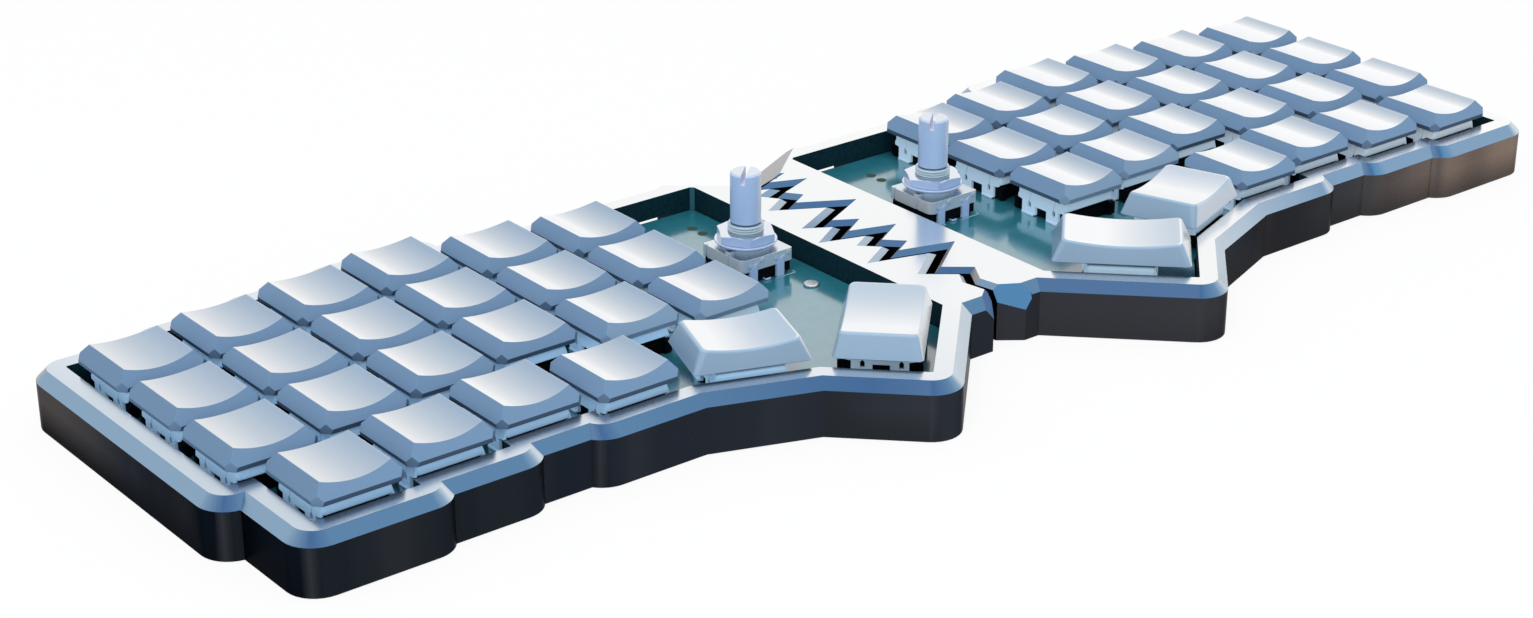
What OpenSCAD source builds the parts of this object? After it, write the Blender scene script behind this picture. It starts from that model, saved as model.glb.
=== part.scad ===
// Split keyboard: two free-standing halves whose cases meet along a zigzag seam.
// Millimetres. The origin lies on the desk, midway between the halves and midway from back to front.

/* [Key layout] */
// Distance between neighbouring key centres
key_pitch = 19.05; // [18.6:0.05:20]
// Distance from the middle plane to the innermost column
inner_column_x = 45.6; // [45:0.1:50]
// One step of the stagger between columns
stagger_step = 2.4; // [0.5:0.1:3]
// Shift of the bottom row towards the middle plane
bottom_row_shift = 4.8; // [3.5:0.1:5.2]
// Distance of the near thumb key from the middle plane
near_thumb_x = 55.6; // [55:0.1:57]
// Place of the near thumb key in front of the back row
near_thumb_y = -60.2; // [-61:0.1:-60]
// Turn of the near thumb key
near_thumb_angle = 20; // [18:0.5:22]
// Distance of the far thumb key from the middle plane
far_thumb_x = 30.1; // [29.5:0.1:31]
// Place of the far thumb key in front of the back row
far_thumb_y = -69.4; // [-71:0.1:-69]
// Turn of the far thumb key
far_thumb_angle = 45; // [44:0.5:46]

/* [Keycaps] */
// Widest size of a finger keycap
cap_size = 17.4; // [17:0.1:17.8]
// Size of the dished top of a finger keycap
dish_size = 13.2; // [12:0.1:14]
// Height of a finger keycap from its lower edge to the corners of its dish
cap_height = 3.5; // [3.3:0.1:4]
// Height of the lower edge band that leans inwards
cap_band = 0.9; // [0.5:0.1:1.2]
// How far the lower edge leans inwards
cap_undercut = 0.2; // [0.1:0.05:0.4]
// Corner cut of a finger keycap
cap_corner = 1.6; // [0.8:0.1:2]
// Depth of the dish at its middle
dish_depth = 1; // [0.5:0.1:1.1]
// Wall of a keycap
cap_wall = 0.9; // [0.7:0.05:1]
// Depth of the hollow under a keycap
cap_hollow = 1.5; // [1.3:0.1:1.6]
// Gap between the rim and the keycaps above it
cap_lift = 1; // [0.6:0.1:1.4]
// Width of the near thumb keycap
near_cap_width = 22; // [20:0.1:22.5]
// Width of the far thumb keycap
far_cap_width = 26.5; // [25:0.1:27]
// Depth of both thumb keycaps
thumb_cap_depth = 16.2; // [16:0.1:16.6]
// Height of the thumb keycaps
thumb_cap_height = 4.2; // [4:0.1:5]
// How far the short sides of a thumb keycap lean in
thumb_width_lean = 2.2; // [1.5:0.1:2.6]
// How far the long sides of a thumb keycap lean in
thumb_depth_lean = 1.3; // [1:0.1:1.6]
// Corner cut of a thumb keycap
thumb_corner = 0.8; // [0.4:0.1:1.2]

/* [Switches] */
// Key travel
key_travel = 2.8; // [2:0.1:2.8]
// Side of the lower switch housing
housing_size = 13.9; // [13.5:0.1:14]
// Height of the lower switch housing
lower_housing_height = 2.2; // [1.8:0.1:2.4]
// Side of the upper switch housing at its foot
upper_housing_size = 13.6; // [13:0.1:13.8]
// Side of the upper switch housing at its roof
upper_roof_size = 12.6; // [12:0.1:13]
// Roof and floor thickness of a switch housing
housing_skin = 0.4; // [0.3:0.05:0.5]
// Width of the stem
stem_width = 10.2; // [9:0.1:10.4]
// Depth of the stem
stem_depth = 4.6; // [4:0.1:5]
// How far the stem's collar stands out on each side
collar_reach = 0.5; // [0.3:0.1:0.7]
// Thickness of the stem's collar
collar_thickness = 0.4; // [0.3:0.05:0.5]
// Clearance round sliding parts of a switch
slide_clearance = 0.2; // [0.1:0.05:0.3]
// Distance between the two legs under a keycap
leg_spacing = 5.7; // [5:0.1:6]
// Width of a leg under a keycap
leg_width = 1.2; // [1:0.1:1.4]
// Depth of a leg under a keycap
leg_depth = 3; // [2.4:0.1:3.2]
// Length of a leg under a keycap
leg_length = 2.4; // [1.5:0.1:2.6]
// Gap between pieces that are pushed together
seat_gap = 0.05; // [0.02:0.01:0.1]

/* [Case] */
// Height of the case from its underside to the rim
case_height = 11; // [10.6:0.1:12]
// Distance of the outer wall from the key cells
case_margin = 5.8; // [5.2:0.1:6.4]
// Chamfer round the rim
rim_chamfer = 2; // [1:0.1:2.4]
// Chamfer along the seam
seam_chamfer = 1; // [0.5:0.1:1.4]
// Gap between the halves along the seam
seam_gap = 1.6; // [1:0.1:2.4]
// Clearance between the key cells and the inner wall
opening_clearance = 0.4; // [0.35:0.05:0.6]
// Thickness of the case floor
floor_thickness = 1.6; // [1.2:0.1:2]
// Distance of the opening's inner edge from the middle plane
opening_inner_x = 13.2; // [13:0.1:14]
// Corner cut at the back of the opening's inner edge
opening_corner = 0.7; // [0.4:0.1:1]
// Front edge of the rib that stands between the thumb keys
rib_front_y = -63.8; // [-64.5:0.1:-63]

/* [Circuit board] */
// Depth of the board's upper face below the rim
board_depth = 4.8; // [4.6:0.1:5.2]
// Gap between the board and the inner wall
board_gap = 0.3; // [0.2:0.05:0.3]
// Thickness of the board
board_thickness = 1.6; // [1.2:0.1:1.8]
// Distance of the socket from the middle plane
socket_x = 23.5; // [22:0.1:25]
// Width of the socket opening in the back wall
socket_opening_width = 11.4; // [10.5:0.1:12]
// Height of the socket opening
socket_opening_height = 5; // [4.6:0.1:5.4]
// Height of the socket opening's upper edge above the board
socket_slit = 0.3; // [0.2:0.05:0.6]
// Width of the socket shell
socket_width = 8.9; // [8.8:0.1:9.2]
// Depth of the socket shell
socket_length = 7.3; // [6.5:0.1:7.5]
// Height of the socket shell
socket_height = 2.8; // [2.6:0.1:2.8]
// Wall of the socket shell
socket_wall = 0.3; // [0.2:0.05:0.4]
// Length of the battery
battery_length = 36; // [30:1:40]
// Width of the battery
battery_width = 24; // [20:1:28]
// Thickness of the battery
battery_thickness = 2.6; // [2:0.1:2.6]
// Side of the controller module
module_size = 14; // [12:0.5:16]
// Thickness of the controller module
module_thickness = 1.8; // [1.4:0.1:2]

/* [Encoder] */
// Distance of the encoder from the middle plane
encoder_x = 24; // [23.5:0.1:24.5]
// Place of the encoder in front of the back row
encoder_y = -21.8; // [-23:0.1:-21]
// Side of the encoder's base
encoder_base = 12.4; // [11.5:0.1:12.6]
// Height of the encoder's moulded base
encoder_base_height = 2.6; // [2.2:0.1:3]
// Height of the encoder's metal bracket
bracket_height = 2.6; // [2.2:0.1:3]
// Width of a leg of the encoder's bracket
bracket_leg_width = 2.1; // [1.6:0.1:2.6]
// Thickness of a leg of the encoder's bracket
bracket_leg_thickness = 0.4; // [0.3:0.05:0.5]
// Height of the collar at the bushing's foot
collar_height = 0.6; // [0.5:0.1:0.8]
// Diameter of the collar at the bushing's foot
collar_diameter = 9; // [8.5:0.1:9.6]
// Diameter of the encoder shaft's free end
shaft_diameter = 6; // [5.6:0.1:6.2]
// Diameter of the encoder shaft inside its bushing
journal_diameter = 5; // [4:0.1:5.2]
// Height of the shaft's tip above the board
shaft_height = 20.5; // [18:0.5:25]
// Height of the shaft's lower end above the board
shaft_seat = 0.8; // [0.6:0.1:1.2]
// Chamfer at the shaft's tip
shaft_chamfer = 0.4; // [0.2:0.1:0.6]
// Slot across the shaft's tip
shaft_slot = 0.9; // [0.6:0.1:1.2]
// Depth of the slot across the shaft's tip
shaft_slot_depth = 1.9; // [1:0.1:4]
// Turn of the slot across the shaft's tip
shaft_slot_angle = 42; // [0:1:90]
// Outer diameter of the threaded bushing
bushing_diameter = 7; // [6.8:0.1:7.4]
// Height of the bushing's end above the board
bushing_height = 10.2; // [9.6:0.1:11]
// Radial clearance of the shaft in its bushing
shaft_clearance = 0.05; // [0.02:0.01:0.1]
// Width across the flats of the nut
nut_flats = 10.4; // [9.5:0.1:11]
// Thickness of the nut
nut_thickness = 2.2; // [1.8:0.1:2.6]
// Diameter of the washer under the nut
washer_diameter = 12.2; // [11:0.1:12.4]
// Thickness of the washer under the nut
washer_thickness = 0.5; // [0.4:0.1:0.8]

/* [Screws] */
// Diameter of a board screw's head
screw_head = 3.1; // [2.6:0.1:3.2]
// Height of a board screw's head
screw_head_height = 0.5; // [0.4:0.1:0.8]
// Diameter of a board screw's shank
screw_shank = 1.6; // [1.4:0.1:1.8]
// Length of a board screw's shank
screw_length = 3.8; // [3:0.1:4.2]
// Radial clearance round a board screw
screw_clearance = 0.2; // [0.1:0.05:0.3]
// Diameter of a boss that carries the board
boss_diameter = 4.4; // [4:0.1:4.8]

/* [Hidden] */
half_pitch = key_pitch / 2;
stagger_steps = [0, 1, 2, 3, 1, 0];
bottom_steps = [0, 1, 2, 1];
far_thumb_units = 1.5;
near_thumb_front = 8.6;
far_thumb_side = 9.5;
arc_steps = 8;
dish_steps = 10;
// How far the cutting shapes run past what they cut
cut_reach = 40;
cut_lead = 5;
cut_spare = 0.2;
// Places of the bracket's legs along the front and back of the encoder
bracket_legs = [-3.4, 3.1];

function column_x(column) = inner_column_x + (5 - column) * key_pitch;
function column_stagger(column) = stagger_steps[column] * stagger_step;
function bottom_x(column) = column_x(column) - bottom_row_shift;
function bottom_y(column) = bottom_steps[column] * stagger_step - 3 * key_pitch;

// The back and front of the case place the part's origin midway between them
back_y = column_stagger(3) + half_pitch + case_margin;
far_corner = [far_thumb_x, far_thumb_y]
    + far_thumb_units * half_pitch * [sin(far_thumb_angle), -cos(far_thumb_angle)]
    - far_thumb_side * [cos(far_thumb_angle), sin(far_thumb_angle)];
front_y = far_corner[1] - case_margin;
layout_shift = -(back_y + front_y) / 2;

// Heights above the desk
rim_z = case_height;
floor_z = floor_thickness;
board_top = rim_z - board_depth;
board_bottom = board_top - board_thickness;
cap_bottom = rim_z + cap_lift;
cap_ceiling = cap_bottom + cap_hollow;
stem_top = cap_ceiling - seat_gap;
roof_top = cap_ceiling - key_travel - slide_clearance / 2;
roof_bottom = roof_top - housing_skin;
collar_top = roof_bottom - slide_clearance / 2;
washer_bottom = encoder_base_height + bracket_height + collar_height + 2 * seat_gap;
board_margin = opening_clearance - board_gap;

// Places of the pieces in one half: the right half is drawn, the left half is its mirror image
screw_places = [
    [18.8, -35.4],
    [column_x(5) + half_pitch, -2 * key_pitch],
    [column_x(4) + half_pitch, 0],
    [column_x(3) + half_pitch, -2 * key_pitch],
    [column_x(1) + half_pitch, 0],
    [column_x(1) + half_pitch, -2 * key_pitch]
];
battery_place = [column_x(2), -key_pitch];
module_place = [socket_x, -key_pitch];

// Every key of one half: name, place, turn, width, depth and whether it is a thumb key
finger_keys = [
    for (column = [0:5]) for (row = [0:2])
        [str("key_r", row + 1, "c", column + 1), column_x(column),
         column_stagger(column) - row * key_pitch, 0, cap_size, cap_size, false]
];
bottom_keys = [
    for (column = [0:3])
        [str("key_r4c", column + 1), bottom_x(column), bottom_y(column), 0, cap_size, cap_size, false]
];
thumb_keys = [
    ["near_thumb_key", near_thumb_x, near_thumb_y, near_thumb_angle, near_cap_width, thumb_cap_depth, true],
    ["far_thumb_key", far_thumb_x, far_thumb_y, far_thumb_angle - 90, far_cap_width, thumb_cap_depth, true]
];
keys = concat(finger_keys, bottom_keys, thumb_keys);
sides = ["left", "right"];
pieces = ["case", "board", "switches", "encoder", "encoder_shaft", "screws"];

// Centre line of the seam from back to front, in round numbers
seam = [
    [0, 18], [-2.5, 7.5], [2.5, 4.5], [-4, 2], [3.5, -1], [-3, -3.5], [-0.5, -7], [-5.5, -10],
    [5, -16], [-6, -21.5], [-1, -24.5], [-7.5, -28.5], [2, -31.5], [-4, -35], [-0.5, -38.5],
    [-6.5, -42], [5.5, -45.5], [-4, -52.5], [1.5, -57], [-1, -61], [0, -66.4], [0, -72]
];

// The block beside the seam: where it starts on the back edge, and the facet across its back corner
block_x = 17.2;
block_jog = 1.3;
block_facet_end = [5.1, 4.1];
block_facet_angle = 33;
function block_facet_past(side) = side == "right" ? 2.6 : 7;
// The front end of the seam: a rib with a facet across its corner
function rib_tip(side) = side == "right" ? 5.1 : 3;
rib_facet_depth = 2.1;
function rib_facet_x(side) = side == "right" ? 5.3 : 4.4;
function rib_facet_angle(side) = side == "right" ? 69 : 61;

function seam_of(side) = side == "right" ? seam : [for (p = seam) [-p[0], p[1]]];
function unit(v) = v / norm(v);
function right_of(a, b) = let (d = unit(b - a)) [-d[1], d[0]];
function miter(p, i) =
    let (n1 = right_of(p[i - 1], p[i]), n2 = right_of(p[i], p[i + 1])) (n1 + n2) / (1 + n1 * n2);
// The inner points of a seam line, moved sideways by d away from the other half
function seam_side(p, d) = [for (i = [1:len(p) - 2]) p[i] + d * miter(p, i)];
function arc(c, r, a0, a1, first, last) =
    [for (i = [first:last]) let (a = a0 + (a1 - a0) * i / arc_steps) c + r * [cos(a), sin(a)]];
// Angle at which a corner of radius m meets an edge that stands back by a step
function step_angle(m, step) = asin(max(0, 1 - step / m));

// Points along the outside of one half at a distance m from the key cells, from the far thumb key
// round the front, the outer end and the back
function thumb_front(m) =
    let (
        far_line = [sin(far_thumb_angle), -cos(far_thumb_angle)],
        near_line = [sin(near_thumb_angle), -cos(near_thumb_angle)],
        far_reach = far_line * [far_thumb_x, far_thumb_y] + far_thumb_units * half_pitch + m,
        near_reach = near_line * [near_thumb_x, near_thumb_y] + near_thumb_front + m,
        turn = far_line[0] * near_line[1] - far_line[1] * near_line[0],
        bottom = bottom_y(3) - half_pitch - m
    )
    concat(
        arc(far_corner, m, far_thumb_angle + 180, far_thumb_angle + 270, 0, arc_steps),
        [
            [(far_reach * near_line[1] - near_reach * far_line[1]) / turn,
             (far_line[0] * near_reach - near_line[0] * far_reach) / turn],
            [(near_reach - near_line[1] * bottom) / near_line[0], bottom]
        ]
    );
function bottom_front(m) =
    let (angle = step_angle(m, stagger_step))
    concat(
        let (c = [bottom_x(3) + half_pitch, bottom_y(3) - half_pitch]) concat(
            arc(c, m, -90, -angle, 0, arc_steps - 1),
            [[c[0] + m * cos(angle), bottom_y(2) - half_pitch - m]]
        ),
        [for (column = [1, 0])
            let (c = [bottom_x(column) - half_pitch, bottom_y(column) - half_pitch])
            each concat(
                [[c[0] - m * cos(angle), bottom_y(column + 1) - half_pitch - m]],
                arc(c, m, 180 + angle, 270, 1, arc_steps)
            )]
    );
function outer_end(m) =
    let (
        angle = acos(max(0, 1 - bottom_row_shift / m)),
        foot = [bottom_x(0) + half_pitch, bottom_y(0) - half_pitch],
        knee = [column_x(0) + half_pitch, -2 * key_pitch - half_pitch],
        top = [column_x(0) + half_pitch, half_pitch]
    )
    concat(
        arc(foot, m, -90, 0, 0, arc_steps),
        [[foot[0] + m, knee[1] - m * sin(angle)]],
        arc(knee, m, -angle, 0, 1, arc_steps),
        arc(top, m, 0, 90, 0, arc_steps)
    );
function back_edge(m) =
    concat(
        [for (column = [1:3])
            let (
                angle = step_angle(m, stagger_step),
                c = [column_x(column) + half_pitch, column_stagger(column) + half_pitch]
            )
            each concat(
                [[c[0] + m * cos(angle), column_stagger(column - 1) + half_pitch + m]],
                arc(c, m, angle, 90, 1, arc_steps)
            )],
        [for (column = [3:4])
            let (
                angle = step_angle(m, (stagger_steps[column] - stagger_steps[column + 1]) * stagger_step),
                c = [column_x(column) - half_pitch, column_stagger(column) + half_pitch]
            )
            each concat(
                arc(c, m, 90, 180 - angle, 0, arc_steps - 1),
                [[c[0] - m * cos(angle), column_stagger(column + 1) + half_pitch + m]]
            )]
    );
function outside(m) = concat(thumb_front(m), bottom_front(m), outer_end(m), back_edge(m));
// Where the far thumb key's inner side line, at distance m, crosses a line along X
function thumb_side_x(m, y) =
    far_thumb_x - ((far_thumb_side + m) + (y - far_thumb_y) * sin(far_thumb_angle)) / cos(far_thumb_angle);
function thumb_side_y(m, x) =
    far_thumb_y - ((far_thumb_side + m) + (x - far_thumb_x) * cos(far_thumb_angle)) / sin(far_thumb_angle);

// The seam end of one half at a distance m from the cells and d from the seam's centre line
function seam_back(p, d, y) =
    let (n = right_of(p[0], p[1]), a = p[0] + d * n, b = p[1] + d * n)
    a + (b - a) * (y - a[1]) / (b[1] - a[1]);
function seam_end(side, m, d, back) =
    let (p = seam_of(side))
    concat(
        [[block_x + block_jog, half_pitch + m]],
        [[block_x, back], seam_back(p, d, back)],
        seam_side(p, d)
    );
function rib_end(side, m) =
    let (y = rib_front_y - m) [[rib_tip(side), y], [thumb_side_x(m, y), y]];
function case_ring(side, rim, seam_cut) =
    let (
        m = case_margin - rim,
        d = seam_gap / 2 + seam_cut,
        back = half_pitch + case_margin - seam_cut
    )
    concat(outside(m), seam_end(side, m, d, back), rib_end(side, m));
// Heights of the wall's upper edge, point by point along the same ring
function case_edge(side) =
    let (count = len(outside(case_margin)), seam_count = len(seam))
    concat(
        [for (i = [0:count]) rim_z - rim_chamfer],
        [for (i = [1:seam_count]) rim_z - seam_chamfer],
        [for (i = [0:1]) rim_z - rim_chamfer]
    );
function well_ring(m) =
    let (x = opening_inner_x - m, y = half_pitch + m)
    concat(
        outside(m),
        [[x + opening_corner, y], [x, y - opening_corner], [x, thumb_side_y(m, x)]]
    );

// Places what is drawn for the right half in either half
module half(side) {
    translate([0, layout_shift, 0])
        mirror([side == "left" ? 1 : 0, 0, 0])
            children();
}

module box(size, bottom) {
    translate([-size[0] / 2, -size[1] / 2, bottom]) cube(size);
}

// A block whose four sides follow the outlines given across its width and its depth
module crossed(across_width, across_depth, reach) {
    intersection() {
        rotate([90, 0, 0]) linear_extrude(reach, center = true) polygon(across_width);
        rotate([90, 0, 90]) linear_extrude(reach, center = true) polygon(across_depth);
    }
}

// Everything above a plane that falls away to the right of the line from a to b
module slope_cut(a, b, angle, past) {
    along = b - a;
    translate([a[0], a[1], rim_z])
        rotate([0, 0, atan2(along[1], along[0])])
            rotate([angle, 0, 0])
                translate([-cut_lead, -cut_reach, 0])
                    cube([norm(along) + past + cut_lead, cut_reach, cut_reach]);
}

// A three-sided tube that runs round the case and cuts the chamfers along its upper edge
module edge_cutter(side) {
    wall = case_ring(side, 0, 0);
    rim = case_ring(side, rim_chamfer, seam_chamfer);
    edge = case_edge(side);
    n = len(wall);
    high = [for (i = [0:n - 1])
        let (low_point = [wall[i][0], wall[i][1], edge[i]], high_point = [rim[i][0], rim[i][1], rim_z])
        high_point + cut_spare * (high_point - low_point)];
    low = [for (i = [0:n - 1])
        let (low_point = [wall[i][0], wall[i][1], edge[i]], high_point = [rim[i][0], rim[i][1], rim_z])
        low_point - cut_spare * (high_point - low_point)];
    outer = [for (i = [0:n - 1]) [low[i][0], low[i][1], rim_z + rim_chamfer]];
    polyhedron(
        points = concat(high, low, outer),
        faces = [for (ring = [0:2]) for (i = [0:n - 1])
            let (j = (i + 1) % n, a = ring * n, b = (ring + 1) % 3 * n)
            each [[a + i, b + i, a + j], [a + j, b + i, b + j]]]
    );
}

module case_body(side) {
    difference() {
        linear_extrude(case_height) polygon(case_ring(side, 0, 0));
        edge_cutter(side);
    }
}

module case(side) {
    rim_front = rib_front_y - case_margin + rim_chamfer;
    rim_seam = seam_gap / 2 + seam_chamfer;
    block_back = half_pitch + case_margin - seam_chamfer;
    color("#23262b") half(side) {
        difference() {
            case_body(side);
            translate([0, 0, floor_z]) linear_extrude(case_height) polygon(well_ring(opening_clearance));
            translate([socket_x, half_pitch + case_margin, board_top + socket_slit - socket_opening_height])
                box([socket_opening_width, 2 * case_margin, socket_opening_height], 0);
            slope_cut([block_x, block_back], block_facet_end, block_facet_angle, block_facet_past(side));
            slope_cut([rim_seam, rim_front + rib_facet_depth], [rib_facet_x(side), rim_front],
                rib_facet_angle(side), rib_facet_depth);
        }
        for (place = screw_places)
            translate([place[0], place[1], floor_z - seat_gap])
                difference() {
                    cylinder(h = board_bottom - floor_z + seat_gap, d = boss_diameter, $fn = 32);
                    translate([0, 0, seat_gap])
                        cylinder(h = case_height, d = screw_shank + 2 * seat_gap, $fn = 24);
                }
    }
}

module socket() {
    translate([socket_x, half_pitch + board_margin - socket_length / 2, 0]) {
        bottom = board_bottom - seat_gap - socket_height;
        difference() {
            box([socket_width, socket_length, socket_height], bottom);
            translate([0, socket_wall * 2, 0])
                box([socket_width - 2 * socket_wall, socket_length, socket_height - 2 * socket_wall],
                    bottom + socket_wall);
        }
        box([socket_width - 6 * socket_wall, socket_length - 4 * socket_wall, 2 * socket_wall],
            bottom + socket_height / 2 - socket_wall);
    }
}

module board(side) {
    color("#14725f") half(side) {
        difference() {
            translate([0, 0, board_bottom]) linear_extrude(board_thickness) polygon(well_ring(board_margin));
            for (place = screw_places)
                translate([place[0], place[1], board_bottom - board_thickness])
                    cylinder(h = 3 * board_thickness, d = screw_shank + 2 * screw_clearance, $fn = 24);
        }
        socket();
        translate([module_place[0], module_place[1], 0])
            box([module_size, module_size, module_thickness], board_bottom - seat_gap - module_thickness);
        translate([battery_place[0], battery_place[1], 0])
            box([battery_length, battery_width, battery_thickness], floor_z + seat_gap);
    }
}

module screws(side) {
    color("#e9ebec") half(side) {
        for (place = screw_places)
            translate([place[0], place[1], board_top]) {
                cylinder(h = screw_head_height, d = screw_head, $fn = 32);
                translate([0, 0, -screw_length]) cylinder(h = screw_length, d = screw_shank, $fn = 24);
            }
    }
}

module at_key(key) {
    translate([key[1], key[2], 0]) rotate([0, 0, key[3]]) children();
}

module switch_housing() {
    cavity = [stem_width, stem_depth] + 2 * (collar_reach + slide_clearance) * [1, 1];
    upper_bottom = board_top + lower_housing_height + seat_gap;
    side = [
        [-upper_housing_size / 2, upper_bottom], [upper_housing_size / 2, upper_bottom],
        [upper_roof_size / 2, roof_top], [-upper_roof_size / 2, roof_top]
    ];
    difference() {
        box([housing_size, housing_size, lower_housing_height], board_top);
        box([cavity[0], cavity[1], case_height], board_top + housing_skin);
    }
    difference() {
        crossed(side, side, 2 * housing_size);
        box([cavity[0], cavity[1], roof_bottom - board_top], board_top);
        box([stem_width + 2 * slide_clearance, stem_depth + 2 * slide_clearance, case_height], board_top);
    }
}

module switches(side) {
    color("#cfe0ef") half(side) for (key = keys) at_key(key) switch_housing();
}

// Half of a keycap's size at height z above its lower edge
function cap_half(size, top, height, z) =
    z < cap_band
        ? size / 2 - cap_undercut * (1 - z / cap_band)
        : size / 2 - (size - top) / 2 * (z - cap_band) / (height - cap_band);
function cap_side(size, top, height) = [
    [-cap_half(size, top, height, 0), 0], [cap_half(size, top, height, 0), 0],
    [size / 2, cap_band], [top / 2, height], [-top / 2, height], [-size / 2, cap_band]
];
function hollow_side(size, top, height) =
    let (
        foot = cap_half(size, top, height, 0) - cap_wall,
        head = cap_half(size, top, height, cap_hollow) - cap_wall
    )
    [[-foot, -cap_wall], [foot, -cap_wall], [foot, 0], [head, cap_hollow], [-head, cap_hollow], [-foot, 0]];

module keycap(width, depth, top_width, top_depth, height, corner) {
    cut_width = width / 2 - corner;
    cut_depth = depth / 2 - corner;
    dish_radius = (top_width * top_width / 4 + dish_depth * dish_depth) / (2 * dish_depth);
    dish_angle = asin(top_width / 2 / dish_radius);
    difference() {
        intersection() {
            crossed(cap_side(width, top_width, height), cap_side(depth, top_depth, height), 2 * width);
            linear_extrude(height) polygon([
                [-width / 2, -cut_depth], [-cut_width, -depth / 2], [cut_width, -depth / 2],
                [width / 2, -cut_depth], [width / 2, cut_depth], [cut_width, depth / 2],
                [-cut_width, depth / 2], [-width / 2, cut_depth]
            ]);
        }
        crossed(hollow_side(width, top_width, height), hollow_side(depth, top_depth, height), 2 * width);
        rotate([90, 0, 0]) linear_extrude(2 * depth, center = true) polygon([
            for (i = [0:dish_steps])
                let (a = dish_angle * (2 * i / dish_steps - 1))
                [dish_radius * sin(a), height - dish_depth + dish_radius * (1 - cos(a))],
            [top_width / 2, height + dish_depth], [-top_width / 2, height + dish_depth]
        ]);
    }
    for (x = [-leg_spacing / 2, leg_spacing / 2])
        translate([x, 0, 0]) box([leg_width, leg_depth, leg_length + seat_gap], cap_hollow - leg_length);
}

module stem() {
    collar = [stem_width, stem_depth] + 2 * collar_reach * [1, 1];
    difference() {
        union() {
            box([stem_width, stem_depth, stem_top - collar_top], collar_top);
            box([collar[0], collar[1], collar_thickness], collar_top - collar_thickness);
        }
        for (x = [-leg_spacing / 2, leg_spacing / 2])
            translate([x, 0, 0])
                box([leg_width + 2 * seat_gap, leg_depth + 2 * seat_gap, leg_length + 2 * seat_gap],
                    stem_top - leg_length);
    }
}

module key(side, key) {
    thumb = key[6];
    height = thumb ? thumb_cap_height : cap_height;
    top_width = thumb ? key[4] - 2 * thumb_width_lean : dish_size;
    top_depth = thumb ? key[5] - 2 * thumb_depth_lean : dish_size;
    color(thumb ? "#c3d5e8" : "#7f9dbf") half(side) at_key(key) {
        translate([0, 0, cap_bottom])
            keycap(key[4], key[5], top_width, top_depth, height, thumb ? thumb_corner : cap_corner);
        stem();
    }
}

module at_encoder(side) {
    half(side) translate([encoder_x, encoder_y, board_top]) children();
}

module encoder(side) {
    bore = journal_diameter + 2 * shaft_clearance;
    bracket_bottom = encoder_base_height + seat_gap;
    leg_place = (encoder_base - bracket_leg_thickness) / 2;
    leg_height = bracket_bottom + bracket_height / 2;
    moulding = encoder_base - 2 * (bracket_leg_thickness + seat_gap);
    color("#aebbd0") at_encoder(side) {
        difference() {
            box([encoder_base, moulding, encoder_base_height], 0);
            translate([0, 0, shaft_seat]) cylinder(h = shaft_height, d = bore, $fn = 48);
        }
        difference() {
            union() {
                box([encoder_base, encoder_base, bracket_height], bracket_bottom);
                cylinder(h = washer_bottom - seat_gap, d = collar_diameter, $fn = 48);
                cylinder(h = bushing_height, d = bushing_diameter, $fn = 48);
            }
            box([2 * encoder_base, 2 * encoder_base, bracket_bottom], 0);
            cylinder(h = shaft_height, d = bore, $fn = 48);
        }
        for (x = bracket_legs) for (y = [-leg_place, leg_place])
            translate([x, y, 0])
                box([bracket_leg_width, bracket_leg_thickness, leg_height], seat_gap);
        translate([0, 0, washer_bottom]) difference() {
            cylinder(h = washer_thickness, d = washer_diameter, $fn = 48);
            translate([0, 0, -seat_gap])
                cylinder(h = 2 * washer_thickness, d = bushing_diameter + 2 * seat_gap, $fn = 48);
        }
        translate([0, 0, washer_bottom + washer_thickness + seat_gap]) difference() {
            cylinder(h = nut_thickness, d = nut_flats / cos(30), $fn = 6);
            translate([0, 0, -seat_gap])
                cylinder(h = 2 * nut_thickness, d = bushing_diameter + 2 * seat_gap, $fn = 48);
        }
    }
}

module encoder_shaft(side) {
    radius = shaft_diameter / 2;
    journal = journal_diameter / 2;
    shoulder = bushing_height + slide_clearance;
    slot = [2 * shaft_diameter, shaft_slot, shaft_slot_depth + seat_gap];
    color("#8fa9d4") at_encoder(side) difference() {
        rotate_extrude($fn = 64) polygon([
            [0, shaft_seat + seat_gap], [journal, shaft_seat + seat_gap],
            [journal, shoulder], [radius, shoulder],
            [radius, shaft_height - shaft_chamfer], [radius - shaft_chamfer, shaft_height], [0, shaft_height]
        ]);
        rotate([0, 0, side == "left" ? -shaft_slot_angle : shaft_slot_angle])
            box(slot, shaft_height - shaft_slot_depth);
    }
}

for (side = sides) {
    case(side);
    board(side);
    switches(side);
    encoder(side);
    encoder_shaft(side);
    screws(side);
    for (key = keys)
        key(side, key);
}
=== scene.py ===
import math
from functools import partial

import bmesh
import bpy
from mathutils import Matrix, Vector
from mathutils.bvhtree import BVHTree


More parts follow.
